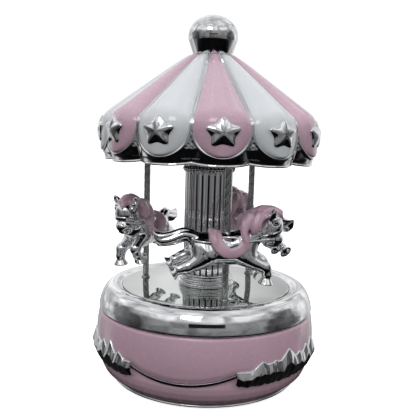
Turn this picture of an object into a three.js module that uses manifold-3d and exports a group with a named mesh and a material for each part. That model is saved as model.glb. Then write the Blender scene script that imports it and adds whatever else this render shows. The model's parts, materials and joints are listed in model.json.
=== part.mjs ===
/**
 * Carousel music box, in millimetres, +Z up, origin on the axis at the table.
 *
 * A plated and enamelled carousel stands on a round drum that holds a comb-and-cylinder
 * music movement. Azimuths are measured from the front (-Y) towards +X, in degrees.
 */
import * as THREE from 'three';
import { mergeVertices } from 'three/addons/utils/BufferGeometryUtils.js';
import Module from 'manifold-3d';

const wasm = await Module();
wasm.setup();

/* ---------------------------------------------------------------- driving dimensions */

const TURN = 2 * Math.PI;
const WELD = 1e-4;            // vertices closer than this are one vertex
const CLEARANCE = 0.3;        // gap between a piece and the neighbour that it is cut by

// Drum: the enamelled casting that holds the movement
const FOOT_R = 41.5;
const FOOT_TOP = 1.9;
const FELT_TOP = 0.8;
const DRUM_BOTTOM = 2.2;
const DRUM_TOP = 32.6;
const DRUM_R = 51.0;
const DRUM_R_TOP = 49.7;
const BELLY_Z = 20.5;         // height of the drum's widest ring
const DECK_BOTTOM = 31.6;     // underside of the drum's top deck
const DECK_BORE_R = 8.0;
const DRAPE_STEP = 2.0;       // how far the wall sets back below the enamel drape
const SWAG_HIGH = 17.3;       // drape edge beside a garland
const SWAG_LOW = 13.2;        // drape edge midway between two garlands
const LEDGE_Z = 10.4;         // inner ledge: cover below it, movement above it
const LEDGE_TOP = 11.9;
const LEDGE_R = 36.8;
const DRUM_SEGMENTS = 30;

// Garlands: three leafy clusters on the drum
const GARLAND_AZIMUTHS = [49.5, 169.5, -70.5];
const GARLAND_HALF_SPAN = 34;
const GARLAND_PROUD = 0.9;
const GARLAND_LEAVES = 5;

// Underside: cover, screws and winding key
const COVER_BOTTOM = 9.2;
const COVER_R = 39.2;
const SCREW_CIRCLE_R = 37.8;
const SCREW_AZIMUTHS = [60, 180, -60];
const ARBOR_R = 2.0;
const KEY_HALF_WIDTH = 13.0;

// Turntable: the plated dish that turns on the drum and carries the mirror
const DISH_BOTTOM = 33.1;
const DISH_FLOOR = 39.3;
const MIRROR_BOTTOM = 41.1;
const MIRROR_TOP = 42.9;
const MIRROR_R = 39.3;
const SPINDLE_R = 2.5;

// Column
const COLUMN_R = 11.1;
const PLINTH_TOP = 48.5;
const SHAFT_TOP = 95.7;
const REEDS = 24;
const REED_DEPTH = 0.6;

// Poles and horses
const POLE_CIRCLE_R = 30.5;
const POLE_AZIMUTHS = [15.6, 135.6, -104.4];
const POLE_R = 1.5;
const POLE_TOP = 126.2;
const HORSE_Z = [64.5, 66.5, 65.5];   // middle of each horse's barrel
const HORSE_HEADING = -9;     // horses run a little outward of the tangent
const SADDLE_PROUD = 1.2;     // how far the saddle cloth stands off the barrel

// Canopy: twelve gores between ribs, each with an enamel panel and a raised star
const GORES = 12;
const GORE_AZIMUTH = 6.0;     // middle of the first gore
const CANOPY_TOP = 149.4;
const CANOPY_APEX_R = 8.2;
const SHOULDER = [44.8, 122.5];
const WIDEST = [48.5, 112.6];
const SKIRT = [48.4, 103.7];
const RIM = [47.2, 100.8];
const CANOPY_WALL = 2.2;
const VALLEY_DEPTH = 2.2;     // how far the ribs sit back from the lobes at the shoulder
const PANEL_THICKNESS = 0.5;
const STEPS_PER_GORE = 3;
const STAR_Z = 114.3;
const STAR_R = 7.2;
const STAR_INNER = 0.55;      // inner corner radius over point radius
const STAR_PROUD = 2.6;
const FINIAL_Z = 156.8;
const FINIAL_R = 11.3;
const FINIAL_HALF_HEIGHT = 9.4;
const FINIAL_TAPER_FROM = 13.4;  // degrees below its middle where the ball tapers to its seat

// Movement, in a local frame: cylinder axis along +X, comb on the +Y side
const MOVEMENT_AZIMUTH = 118;
const BEDPLATE_TOP = 13.3;
const BARREL_BOTTOM = 13.6;
const BARREL_TOP = 20.1;
const BARREL_R = 13.4;
const CROWN_TEETH = 24;
const CROWN_R = 12.0;
const PINION_TEETH = 8;
const CROWN_MODULE = 2 * CROWN_R / CROWN_TEETH;
const CYLINDER_Z = BARREL_TOP + 1.1 + CROWN_MODULE * PINION_TEETH / 2;
const CYLINDER_R = 5.8;
const CYLINDER_SPAN = [15.6, 31.6];
const TRAIN_MODULE = 0.55;
const CYLINDER_WHEEL_TEETH = 20;
const GOVERNOR_PINION_TEETH = 10;
const WORM_WHEEL_TEETH = 18;
const WORM_STARTS = 2;
const WORM_MODULE = 0.65;
const GOVERNOR_DROP = 20;     // degrees that the governor wheel lies below the cylinder axis
const WORM_X = 36.4;
const COMB_NOTES = 18;
const COMB_PITCH = 0.86;
const COMB_TIP_Y = CYLINDER_R + 0.6;
const COMB_THICKNESS = 0.9;
const COMB_SCREW_X = [19.0, 28.2];
const COMB_SCREW_Y = 18.0;

/* ------------------------------------------------------------------------- materials */

const material = (color, roughness, metalness) =>
  new THREE.MeshStandardMaterial({ color, roughness, metalness });

const MATERIALS = {
  plating: material(0xd9dcdf, 0.08, 1.0),
  pink: material(0xc9a0b0, 0.12, 0.0),
  white: material(0xdee2e6, 0.12, 0.0),
  mirror: material(0xcfd3d1, 0.03, 1.0),
  brass: material(0xc2a25a, 0.3, 1.0),
  steel: material(0x9a9da0, 0.3, 1.0),
  casting: material(0x8f9193, 0.5, 0.9),
  felt: material(0x2b2b30, 0.95, 0.0),
};

/* --------------------------------------------------------------------- mesh handling */

const rad = THREE.MathUtils.degToRad;

/** Point at an azimuth (degrees), radius and height. */
function polar(azimuth, radius, z) {
  return new THREE.Vector3(radius * Math.sin(rad(azimuth)), -radius * Math.cos(rad(azimuth)), z);
}

/** Six times the volume that the indexed triangles enclose, positive if they face out. */
function signedVolume(position, index) {
  const corner = [new THREE.Vector3(), new THREE.Vector3(), new THREE.Vector3()];
  let total = 0;
  for (let i = 0; i < index.length; i += 3) {
    corner.forEach((point, k) => point.fromBufferAttribute(position, index[i + k]));
    total += corner[0].dot(corner[1].cross(corner[2]));
  }
  return total;
}

/** Shares the vertices of a closed geometry, drops empty triangles and faces it outwards. */
function weld(geometry) {
  const bare = new THREE.BufferGeometry();
  bare.setAttribute('position', geometry.getAttribute('position'));
  bare.setIndex(geometry.getIndex());
  const joined = mergeVertices(bare, WELD);
  const source = joined.getIndex().array;
  const index = [];
  for (let i = 0; i < source.length; i += 3) {
    const [a, b, c] = source.slice(i, i + 3);
    if (a !== b && b !== c && c !== a) index.push(a, b, c);
  }
  if (signedVolume(joined.getAttribute('position'), index) < 0) index.reverse();
  joined.setIndex(index);
  return joined;
}

/** Geometry from a list of points and a list of vertex numbers. */
function geometryFrom(points, index) {
  const geometry = new THREE.BufferGeometry();
  geometry.setAttribute('position', new THREE.Float32BufferAttribute(points.flat(), 3));
  geometry.setIndex(index);
  return weld(geometry);
}

/** Solid for joining and cutting. */
function solid(geometry) {
  const closed = weld(geometry);
  return new wasm.Manifold(new wasm.Mesh({
    numProp: 3,
    vertProperties: new Float32Array(closed.getAttribute('position').array),
    triVerts: new Uint32Array(closed.getIndex().array),
  }));
}

/** Geometry of a joined or cut solid. */
function geometryOf(shape) {
  const mesh = shape.getMesh();
  const geometry = new THREE.BufferGeometry();
  geometry.setAttribute('position', new THREE.Float32BufferAttribute(mesh.vertProperties, 3));
  geometry.setIndex(Array.from(mesh.triVerts));
  return weld(geometry);
}

const unionOf = (geometries) => geometries.map(solid).reduce((whole, piece) => whole.add(piece));

const cutBy = (shape, geometries) =>
  geometries.map(solid).reduce((left, piece) => left.subtract(piece), shape);

/* ---------------------------------------------------------------------- shape makers */

/** Solid of revolution about Z from [radius, z] points; a ring if it misses the axis. */
function revolve(profile, segments) {
  const points = profile.map(([r, z]) => new THREE.Vector2(r, z));
  const onAxis = profile[0][0] === 0 && profile.at(-1)[0] === 0;
  if (!onAxis) points.push(points[0].clone());
  return weld(new THREE.LatheGeometry(points, segments).rotateX(Math.PI / 2));
}

/** Ring whose closed [radius, z] profile changes with the azimuth in degrees. */
function ringSolid(profileAt, segments) {
  const points = [];
  const index = [];
  const count = profileAt(0).length;
  for (let i = 0; i < segments; i++) {
    const azimuth = 360 * i / segments;
    profileAt(azimuth).forEach(([r, z]) => points.push(polar(azimuth, r, z).toArray()));
    for (let j = 0; j < count; j++) {
      const next = (i + 1) % segments;
      const below = (j + 1) % count;
      const [a, b] = [i * count + j, next * count + j];
      const [c, d] = [next * count + below, i * count + below];
      index.push(a, b, c, a, c, d);
    }
  }
  return geometryFrom(points, index);
}

/** Round rod or disc along Z. */
function rod(radius, z0, z1, sides = 16) {
  return revolve([[0, z0], [radius, z0], [radius, z1], [0, z1]], sides);
}

/** Washer or tube along Z. */
function washer(innerR, outerR, z0, z1, sides = 24) {
  return revolve([[innerR, z0], [outerR, z0], [outerR, z1], [innerR, z1]], sides);
}

/** Turns a geometry that was made along +Z so that it lies along +X. */
const alongX = (geometry) => geometry.rotateY(Math.PI / 2);

/** Box between two corners. */
function box([x0, y0, z0], [x1, y1, z1]) {
  const geometry = new THREE.BoxGeometry(x1 - x0, y1 - y0, z1 - z0);
  return geometry.translate((x0 + x1) / 2, (y0 + y1) / 2, (z0 + z1) / 2);
}

/** Ellipsoid about a centre. */
function ellipsoid([x, y, z], [rx, ry, rz], around, along) {
  return weld(new THREE.SphereGeometry(1, around, along).rotateX(Math.PI / 2).scale(rx, ry, rz)
    .translate(x, y, z));
}

/** Limb through [x, y, z, radius] stations, with flat ends. */
function limb(stations, sides, inflate = 0) {
  const centres = stations.map(([x, y, z]) => new THREE.Vector3(x, y, z));
  const sideways = new THREE.Vector3(0, 1, 0);
  const points = [];
  const index = [];
  centres.forEach((centre, i) => {
    const ahead = centres[Math.min(i + 1, centres.length - 1)];
    const along = ahead.clone().sub(centres[Math.max(i - 1, 0)]).normalize();
    const across = sideways.clone().addScaledVector(along, -sideways.dot(along)).normalize();
    const upward = along.clone().cross(across);
    for (let k = 0; k < sides; k++) {
      const turn = TURN * k / sides;
      const radius = stations[i][3] + inflate;
      points.push(centre.clone().addScaledVector(across, radius * Math.cos(turn))
        .addScaledVector(upward, radius * Math.sin(turn)).toArray());
    }
  });
  const last = (centres.length - 1) * sides;
  for (let k = 0; k < sides; k++) {
    const next = (k + 1) % sides;
    for (let ring = 0; ring < last; ring += sides) {
      index.push(ring + k, ring + next, ring + sides + next);
      index.push(ring + k, ring + sides + next, ring + sides + k);
    }
    if (k > 0 && k < sides - 1) {
      index.push(0, k + 1, k);
      index.push(last, last + k, last + k + 1);
    }
  }
  return geometryFrom(points, index);
}

/** Plate that follows surface(u, v, lift) for u in -1..1 and v in 0..1, lifted low to high. */
function plateOn(surface, across, down, low, high) {
  const points = [];
  const index = [];
  const width = across + 1;
  const layer = width * (down + 1);
  for (const lift of [low, high]) {
    for (let j = 0; j <= down; j++) {
      for (let i = 0; i <= across; i++) {
        points.push(surface(-1 + 2 * i / across, j / down, lift).toArray());
      }
    }
  }
  const quad = (a, b, c, d) => index.push(a, b, c, a, c, d);
  for (let j = 0; j < down; j++) {
    for (let i = 0; i < across; i++) {
      const at = j * width + i;
      quad(at, at + width, at + width + 1, at + 1);
      quad(layer + at, layer + at + 1, layer + at + width + 1, layer + at + width);
    }
  }
  for (let i = 0; i < across; i++) {
    const bottom = down * width + i;
    quad(i, i + 1, layer + i + 1, layer + i);
    quad(bottom + 1, bottom, layer + bottom, layer + bottom + 1);
  }
  for (let j = 0; j < down; j++) {
    const left = j * width;
    const right = left + across;
    quad(left + width, left, layer + left, layer + left + width);
    quad(right, right + width, layer + right + width, layer + right);
  }
  return geometryFrom(points, index);
}

/** Spur wheel along +Z with a tooth pointing along +X, or a gap if halfTooth is 0.5. */
function spurWheel(teeth, module, z0, z1, halfTooth = 0) {
  const pitchR = teeth * module / 2;
  const shape = new THREE.Shape();
  const corners = [[-0.27, -1.0], [-0.12, 0.82], [0.12, 0.82], [0.27, -1.0]];
  for (let tooth = 0; tooth < teeth; tooth++) {
    corners.forEach(([turn, height], k) => {
      const angle = TURN * (tooth + halfTooth + turn) / teeth;
      const r = pitchR + height * module;
      const move = tooth === 0 && k === 0 ? 'moveTo' : 'lineTo';
      shape[move](r * Math.cos(angle), r * Math.sin(angle));
    });
  }
  shape.closePath();
  return new THREE.ExtrudeGeometry(shape, { depth: z1 - z0, bevelEnabled: false })
    .translate(0, 0, z0);
}

/* ------------------------------------------------------------------------------ drum */

/** Signed angle in degrees from the nearest garland's middle. */
function fromGarland(azimuth) {
  const turns = GARLAND_AZIMUTHS.map((middle) => (((azimuth - middle) % 360) + 540) % 360 - 180);
  return turns.reduce((best, apart) => (Math.abs(apart) < Math.abs(best) ? apart : best));
}

/** Height of the drape's edge: it hangs in a swag between the garlands. */
function drapeEdge(azimuth) {
  const halfSwag = 60 - GARLAND_HALF_SPAN;
  const fromMiddle = 60 - Math.abs(fromGarland(azimuth));
  const across = Math.min(fromMiddle / halfSwag, 1);
  return SWAG_LOW + (SWAG_HIGH - SWAG_LOW) * across ** 2;
}

/** Outer radius of the drape at a height: an arc through the belly. */
function drapeRadius(z) {
  const rise = (z - BELLY_Z) / (DRUM_TOP - BELLY_Z);
  return DRUM_R - (DRUM_R - DRUM_R_TOP) * rise ** 2;
}

function baseShell() {
  const profileAt = (azimuth) => {
    const edge = drapeEdge(azimuth);
    return [
      [DRUM_R_TOP, DRUM_TOP], [drapeRadius(28), 28], [DRUM_R, BELLY_Z],
      [drapeRadius(edge), edge + 0.3], [drapeRadius(edge) - DRAPE_STEP, edge - 0.3],
      [48.8, 11.0], [46.8, 6.0], [FOOT_R + 0.3, DRUM_BOTTOM],
      [COVER_R + 0.4, DRUM_BOTTOM], [COVER_R + 0.4, 3.4], [45.0, LEDGE_Z],
      [LEDGE_R, LEDGE_Z], [LEDGE_R, LEDGE_TOP], [46.4, LEDGE_TOP], [48.2, BELLY_Z],
      [47.4, DECK_BOTTOM], [DECK_BORE_R, DECK_BOTTOM], [DECK_BORE_R, DRUM_TOP],
    ];
  };
  const shell = solid(ringSolid(profileAt, DRUM_SEGMENTS));
  return geometryOf(cutBy(shell, SCREW_AZIMUTHS.map((azimuth) => screwHole(azimuth, 1.4))));
}

function footRim() {
  return revolve([
    [35.5, FELT_TOP], [FOOT_R - 0.8, FELT_TOP], [FOOT_R - 0.8, 0.3], [FOOT_R + 0.8, 0.3],
    [FOOT_R + 0.3, FOOT_TOP], [35.5, FOOT_TOP],
  ], DRUM_SEGMENTS);
}

/** Leafy cluster: pointed leaf tips above, a wavy edge below. */
function garland(middle) {
  const surface = (u, v, lift) => {
    const bulge = Math.sqrt(Math.max(1 - u * u, 0));
    const leaf = Math.abs(Math.sin(Math.PI * GARLAND_LEAVES * (u + 1) / 2));
    const top = SWAG_HIGH + 0.4 + (3.6 + 3.2 * leaf) * bulge;
    const bottom = SWAG_HIGH - 2.4 - 2.6 * bulge - 0.5 * (1 - leaf);
    const z = bottom + (top - bottom) * v;
    return polar(middle + GARLAND_HALF_SPAN * u, drapeRadius(z) + lift, z);
  };
  return plateOn(surface, 6 * GARLAND_LEAVES, 1, CLEARANCE, GARLAND_PROUD);
}

const screwHole = (azimuth, radius) => {
  const { x, y } = polar(azimuth, SCREW_CIRCLE_R, 0);
  return rod(radius, COVER_BOTTOM - 1, LEDGE_TOP + 1, 8).translate(x, y, 0);
};

function bottomCover() {
  const disc = solid(washer(ARBOR_R + CLEARANCE, COVER_R, COVER_BOTTOM, LEDGE_Z, DRUM_SEGMENTS));
  return geometryOf(cutBy(disc, SCREW_AZIMUTHS.map((azimuth) => screwHole(azimuth, 1.4))));
}

/** Pan-head screw, head down. */
function coverScrew(azimuth) {
  const { x, y } = polar(azimuth, SCREW_CIRCLE_R, 0);
  return revolve([
    [0, 8.0], [1.6, 8.0], [2.2, 8.5], [2.2, COVER_BOTTOM], [1.1, COVER_BOTTOM],
    [1.1, LEDGE_TOP - 0.3], [0, LEDGE_TOP - 0.3],
  ], 8).translate(x, y, 0);
}

function spindleBush() {
  const bore = SPINDLE_R + CLEARANCE;
  return revolve([
    [bore, DECK_BOTTOM - 0.9], [9.6, DECK_BOTTOM - 0.9], [9.6, DECK_BOTTOM],
    [DECK_BORE_R - CLEARANCE, DECK_BOTTOM], [DECK_BORE_R - CLEARANCE, DRUM_TOP], [bore, DRUM_TOP],
  ], 16);
}

/* ----------------------------------------------------------------------- winding key */

const windingArbor = () => rod(ARBOR_R, 2.0, 17.4, 10);

/** Butterfly key: two rounded wings on a hub that is bored for the arbor. */
function windingKey() {
  const wing = (side) => {
    const middle = side * (KEY_HALF_WIDTH - 5.2);
    return ellipsoid([middle, 0, 4.9], [5.2, 1.2, 3.4], 10, 6);
  };
  const web = box([-KEY_HALF_WIDTH + 6, -1.0, 2.4], [KEY_HALF_WIDTH - 6, 1.0, 7.4]);
  const key = unionOf([rod(3.6, 1.2, 8.4, 12), wing(-1), wing(1), web]);
  return geometryOf(cutBy(key, [rod(ARBOR_R + CLEARANCE, 1.7, 9, 10)]));
}

/* -------------------------------------------------------------------------- movement */

/** Chamfered plate under the whole movement, bored for the winding arbor. */
function bedplate() {
  const outline = new THREE.Shape([
    [-15, -12], [-10, -18], [33, -19.5], [41.5, -15], [41.5, 8], [34, 19], [30, 23], [10, 23],
    [-15, 12],
  ].map(([x, y]) => new THREE.Vector2(x, y)));
  outline.holes.push(new THREE.Path().absarc(0, 0, ARBOR_R + CLEARANCE, 0, TURN));
  const depth = BEDPLATE_TOP - LEDGE_TOP;
  return new THREE.ExtrudeGeometry(outline, { depth, bevelEnabled: false, curveSegments: 8 })
    .translate(0, 0, LEDGE_TOP);
}

/** Open cup for the mainspring, with a crown of teeth around its top edge. */
function springBarrel() {
  const cup = revolve([
    [ARBOR_R + CLEARANCE, BARREL_BOTTOM], [BARREL_R, BARREL_BOTTOM], [BARREL_R, BARREL_TOP],
    [10.8, BARREL_TOP], [10.8, BARREL_BOTTOM + 1], [ARBOR_R + CLEARANCE, BARREL_BOTTOM + 1],
  ], CROWN_TEETH);
  const tooth = new THREE.Shape([[-0.72, -0.2], [0.72, -0.2], [0.28, 1.45], [-0.28, 1.45]]
    .map(([x, y]) => new THREE.Vector2(x, y)));
  const teeth = Array.from({ length: CROWN_TEETH }, (_, i) =>
    new THREE.ExtrudeGeometry(tooth, { depth: 2.2, bevelEnabled: false })
      .rotateX(Math.PI / 2).rotateZ(Math.PI / 2)
      .translate(10.95, 0, BARREL_TOP).rotateZ(TURN * (i + 0.5) / CROWN_TEETH));
  return geometryOf(unionOf([cup, ...teeth]));
}

const barrelCover = () => washer(SPINDLE_R + CLEARANCE, 10.5, 18.1, 19.1, 20);

/** Coiled strip between the winding arbor and the barrel wall. */
function mainspring() {
  const turns = 3;
  const stepsPerTurn = 12;
  const inner = 3.2;
  const outer = 10.0;
  const half = 0.3;
  const [z0, z1] = [15.0, 17.8];
  const points = [];
  const index = [];
  const steps = turns * stepsPerTurn;
  for (let i = 0; i <= steps; i++) {
    const middle = inner + (outer - inner) * i / steps;
    const corners = [[-half, z0], [half, z0], [half, z1], [-half, z1]];
    const azimuth = 360 * i / stepsPerTurn;
    corners.forEach(([off, z]) => points.push(polar(azimuth, middle + off, z).toArray()));
    for (let k = 0; i < steps && k < 4; k++) {
      const [a, b] = [4 * i + k, 4 * i + (k + 1) % 4];
      index.push(a, b, b + 4, a, b + 4, a + 4);
    }
  }
  const end = 4 * steps;
  index.push(0, 3, 2, 0, 2, 1, end, end + 1, end + 2, end, end + 2, end + 3);
  return geometryFrom(points, index);
}

/** Spindle from the barrel lid up into the turntable's hub. */
function driveSpindle() {
  return revolve([
    [0, 17.9], [SPINDLE_R, 17.9], [SPINDLE_R, 19.1], [4.2, 19.1], [4.2, 20.0],
    [SPINDLE_R, 20.0], [SPINDLE_R, 40.2], [0, 40.2],
  ], 16);
}

/** Brass cylinder with one short pin for each note. */
function tuneCylinder() {
  const [x0, x1] = CYLINDER_SPAN;
  const body = alongX(washer(1.0 + CLEARANCE, CYLINDER_R, x0, x1, 20));
  const pins = Array.from({ length: COMB_NOTES }, (_, note) => {
    const x = noteX(note);
    return box([x - 0.2, -0.2, CYLINDER_R - 0.3], [x + 0.2, 0.2, CYLINDER_R + 0.3])
      .rotateX(TURN * (0.31 * note + 0.12));
  });
  return geometryOf(unionOf([body, ...pins])).translate(0, 0, CYLINDER_Z);
}

/** Place of a note's tooth along the cylinder. */
function noteX(note) {
  const middle = (CYLINDER_SPAN[0] + CYLINDER_SPAN[1]) / 2;
  return middle + (note - (COMB_NOTES - 1) / 2) * COMB_PITCH;
}

/** Cylinder arbor with the pinion that the crown turns and the wheel that drives the governor. */
function cylinderArbor() {
  const pinion = spurWheel(PINION_TEETH, CROWN_MODULE, 10.9, 13.1);
  const wheel = spurWheel(CYLINDER_WHEEL_TEETH, TRAIN_MODULE, 33.7, 34.9);
  const arbor = unionOf([rod(1.0, 10.9, 35.4, 8), pinion, wheel]);
  return alongX(geometryOf(arbor)).translate(0, 0, CYLINDER_Z);
}

/** Place of the governor wheel's arbor beside the cylinder. */
function governorAxis() {
  const apart = TRAIN_MODULE * (CYLINDER_WHEEL_TEETH + GOVERNOR_PINION_TEETH) / 2 + 0.12;
  const drop = rad(GOVERNOR_DROP);
  return { y: -apart * Math.cos(drop), z: CYLINDER_Z - apart * Math.sin(drop) };
}

/** Pinion and worm wheel on one arbor, phased so that both are in mesh at rest. */
function governorWheel() {
  const { y, z } = governorAxis();
  const pinion = spurWheel(GOVERNOR_PINION_TEETH, TRAIN_MODULE, 33.6, 35.0, 0.5);
  const wheelX = alongX(geometryOf(unionOf([
    pinion.rotateZ(pinionMeshTurn()), rod(0.9, 32.0, 40.6, 8),
    spurWheel(WORM_WHEEL_TEETH, WORM_MODULE, WORM_X - 0.5, WORM_X + 0.5).rotateZ(-Math.PI / 2),
  ])));
  return wheelX.translate(0, y, z);
}

/** Turn that faces a gap of the governor's pinion to the meshing tooth of the cylinder wheel. */
function pinionMeshTurn() {
  const toothPitch = TURN / CYLINDER_WHEEL_TEETH;
  const contact = rad(GOVERNOR_DROP) - Math.PI / 2;
  const offset = contact - Math.round(contact / toothPitch) * toothPitch;
  return contact + Math.PI + offset * CYLINDER_WHEEL_TEETH / GOVERNOR_PINION_TEETH;
}

const wormDistance = () => WORM_MODULE * WORM_WHEEL_TEETH / 2 + 1.45;

/** Upright fly: a two-start worm below and two fan blades above. */
function governorFly() {
  const { y, z } = governorAxis();
  const [low, high] = [z - 2.6, z + 2.6];
  const lead = Math.PI * WORM_MODULE * WORM_STARTS;
  const levels = 12;
  const sides = 6;
  const points = [];
  const index = [];
  for (let i = 0; i <= levels; i++) {
    const height = low + (high - low) * i / levels;
    const twist = TURN * (height - z) / lead;
    for (let k = 0; k < sides; k++) {
      const turn = TURN * k / sides;
      const across = new THREE.Vector2(1.5 * Math.cos(turn), 0.7 * Math.sin(turn))
        .rotateAround(new THREE.Vector2(), twist);
      points.push([across.x, across.y, height]);
      if (i < levels) {
        const [a, b] = [i * sides + k, i * sides + (k + 1) % sides];
        index.push(a, b, b + sides, a, b + sides, a + sides);
      }
    }
  }
  const top = levels * sides;
  for (let k = 1; k < sides - 1; k++) index.push(0, k + 1, k, top, top + k, top + k + 1);
  const worm = geometryFrom(points, index);
  const fan = box([-3.0, -0.3, 26.7], [3.0, 0.3, 29.4]);
  const fly = geometryOf(unionOf([worm, rod(0.6, 13.7, 30.4, 6), fan]));
  return fly.translate(WORM_X, y - wormDistance(), 0);
}

/** Upright plate with holes for the arbors that run in it. */
function bearingPlate(x0, x1, y0, y1, top, holes) {
  const plate = solid(box([x0, y0, BEDPLATE_TOP], [x1, y1, top]));
  const bores = holes.map(({ y, z, r }) =>
    alongX(rod(r + CLEARANCE, x0 - 1, x1 + 1, 10)).translate(0, y, z));
  return geometryOf(cutBy(plate, bores));
}

/** C-shaped bracket: its arms hold the fly, its web holds the governor wheel. */
function governorBracket() {
  const { y, z } = governorAxis();
  const flyY = y - wormDistance();
  const [inner, outer] = [40.0, 41.2];
  const web = box([inner, flyY - 2.5, BEDPLATE_TOP], [outer, y + 2.5, 31.2]);
  const arm = (z0, z1) => box([WORM_X - 2, flyY - 2.5, z0], [inner + 0.5, flyY + 2.5, z1]);
  const bracket = unionOf([web, arm(BEDPLATE_TOP, 14.5), arm(29.9, 31.2)]);
  const flyBore = rod(0.9, 13.5, 30.7, 10).translate(WORM_X, flyY, 0);
  const arborBore = alongX(rod(0.9 + CLEARANCE, inner - 1, outer + 1, 10)).translate(0, y, z);
  return geometryOf(cutBy(bracket, [flyBore, arborBore]));
}

/** Steel comb: one tooth for each note, long for low notes and short for high ones. */
function comb() {
  const outline = [];
  const halfTooth = 0.3;
  const backY = 21.5;
  const root = (note) => 13.5 - 0.2 * note;
  const halfWidth = COMB_NOTES * COMB_PITCH / 2;
  for (let note = 0; note < COMB_NOTES; note++) {
    const x = noteX(note);
    outline.push([x - halfTooth, root(note)], [x - halfTooth, COMB_TIP_Y]);
    outline.push([x + halfTooth, COMB_TIP_Y], [x + halfTooth, root(note)]);
  }
  const middle = (noteX(0) + noteX(COMB_NOTES - 1)) / 2;
  outline.push([middle + halfWidth, root(COMB_NOTES)], [middle + halfWidth, backY]);
  outline.push([middle - halfWidth, backY], [middle - halfWidth, root(-1)]);
  const shape = new THREE.Shape(outline.map(([x, y]) => new THREE.Vector2(x, y)));
  const plate = new THREE.ExtrudeGeometry(shape, { depth: COMB_THICKNESS, bevelEnabled: false })
    .translate(0, 0, CYLINDER_Z - COMB_THICKNESS / 2);
  return geometryOf(cutBy(solid(plate), combScrewHoles()));
}

/** Holes for the two screws that hold the comb on its block. */
const combScrewHoles = () =>
  COMB_SCREW_X.map((x) => rod(1.3, 18, 30, 10).translate(x, COMB_SCREW_Y, 0));

/** Cast block that lifts the comb to the cylinder's height. */
function combBlock() {
  const top = CYLINDER_Z - COMB_THICKNESS / 2;
  const block = solid(box([17.0, 14.8, BEDPLATE_TOP], [30.2, 21.2, top]));
  return geometryOf(cutBy(block, combScrewHoles()));
}

function combScrew(x) {
  const seat = CYLINDER_Z + COMB_THICKNESS / 2;
  return revolve([
    [0, 18.6], [1.0, 18.6], [1.0, seat], [2.2, seat], [2.2, seat + 1.0], [1.6, seat + 1.5],
    [0, seat + 1.5],
  ], 12).translate(x, COMB_SCREW_Y, 0);
}

/* ----------------------------------------------------------------- turntable, column */

function turntable() {
  return revolve([
    [SPINDLE_R + CLEARANCE, 36.4], [6.5, 36.4], [6.5, DISH_FLOOR], [41.5, DISH_FLOOR],
    [47.6, DISH_BOTTOM], [49.8, DISH_BOTTOM], [49.3, 36.6], [48.1, 40.2],
    [46.5, 42.6], [44.6, 43.9], [42.1, 43.8], [MIRROR_R + 0.3, MIRROR_TOP],
    [MIRROR_R + 0.3, MIRROR_BOTTOM], [SPINDLE_R + CLEARANCE, MIRROR_BOTTOM],
  ], DRUM_SEGMENTS);
}

function mirrorDisc() {
  const bore = SPINDLE_R + CLEARANCE;
  const disc = solid(washer(bore, MIRROR_R, MIRROR_BOTTOM, MIRROR_TOP, DRUM_SEGMENTS));
  const holes = POLE_AZIMUTHS.map((azimuth) => {
    const { x, y } = polar(azimuth, POLE_CIRCLE_R, 0);
    return rod(POLE_R + CLEARANCE, MIRROR_BOTTOM - 1, MIRROR_TOP + 1, 8).translate(x, y, 0);
  });
  return geometryOf(cutBy(disc, holes));
}

const columnBase = () => revolve([
  [0, MIRROR_TOP], [12.6, MIRROR_TOP], [13.0, 43.7], [12.6, 44.6], [12.1, 44.8], [12.4, 45.7],
  [12.0, 46.5], [11.6, 46.9], [11.4, PLINTH_TOP], [0, PLINTH_TOP],
], 2 * REEDS);

/** Reeded shaft: broad reeds between narrow grooves. */
function columnShaft() {
  const outline = new THREE.Shape();
  const stepsPerReed = 4;
  for (let i = 0; i < REEDS * stepsPerReed; i++) {
    const angle = TURN * i / (REEDS * stepsPerReed);
    const r = i % stepsPerReed === 0 ? COLUMN_R - REED_DEPTH : COLUMN_R;
    outline[i ? 'lineTo' : 'moveTo'](r * Math.cos(angle), r * Math.sin(angle));
  }
  outline.closePath();
  const depth = SHAFT_TOP - PLINTH_TOP;
  return new THREE.ExtrudeGeometry(outline, { depth, bevelEnabled: false })
    .translate(0, 0, PLINTH_TOP);
}

/** Ring capital with a plain tube that reaches the canopy's crown; bored for the finial. */
function columnCapital() {
  const top = CANOPY_TOP - 6.2;
  return revolve([
    [0, SHAFT_TOP], [11.6, SHAFT_TOP], [12.2, 97.0], [11.6, 99.6], [9.4, 101.2], [9.4, top],
    [2.9, top], [2.9, top - 6], [0, top - 6],
  ], 2 * REEDS);
}

/* ---------------------------------------------------------------------------- horses */

/** Stations of the horse's limbs about its barrel, nose towards +X. */
const BARREL = { centre: [-2.0, 0, 0.6], radii: [13.5, 6.3, 6.9] };
const HEAD = { centre: [18.6, 0, 11.2], radii: [5.5, 5.2, 5.5] };
const MUZZLE = { centre: [20.0, 0, 4.8], radii: [4.3, 3.8, 3.2] };
const NECK = [[6.0, 0, 3.0, 6.0], [10.5, 0, 6.5, 4.9], [15.5, 0, 9.5, 4.2]];
const TAIL = [[-12.5, 0, 4.5, 3.2], [-18.5, 0, 6.7, 3.1], [-24.5, 0, 5.0, 3.1],
  [-28.6, 0, 5.6, 2.2], [-30.6, 0, 7.8, 0.8]];
const HIND_LEG_LOW = [[-8.5, -3.0, -1.2, 4.6], [-13.5, -3.8, -5.2, 3.0], [-19.0, -3.9, -8.4, 1.8],
  [-22.6, -3.9, -10.2, 2.8]];
const HIND_LEG_HIGH = [[-9.5, 3.0, 0.0, 4.4], [-15.0, 3.8, -2.0, 3.0], [-21.2, 3.9, -4.8, 1.8],
  [-24.8, 3.9, -6.6, 2.8]];
const FORE_LEG_LOW = [[7.5, -3.0, -2.0, 3.8], [13.0, -3.7, -4.6, 2.8], [16.6, -3.8, -7.2, 2.0],
  [16.2, -3.8, -12.6, 2.8]];
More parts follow.
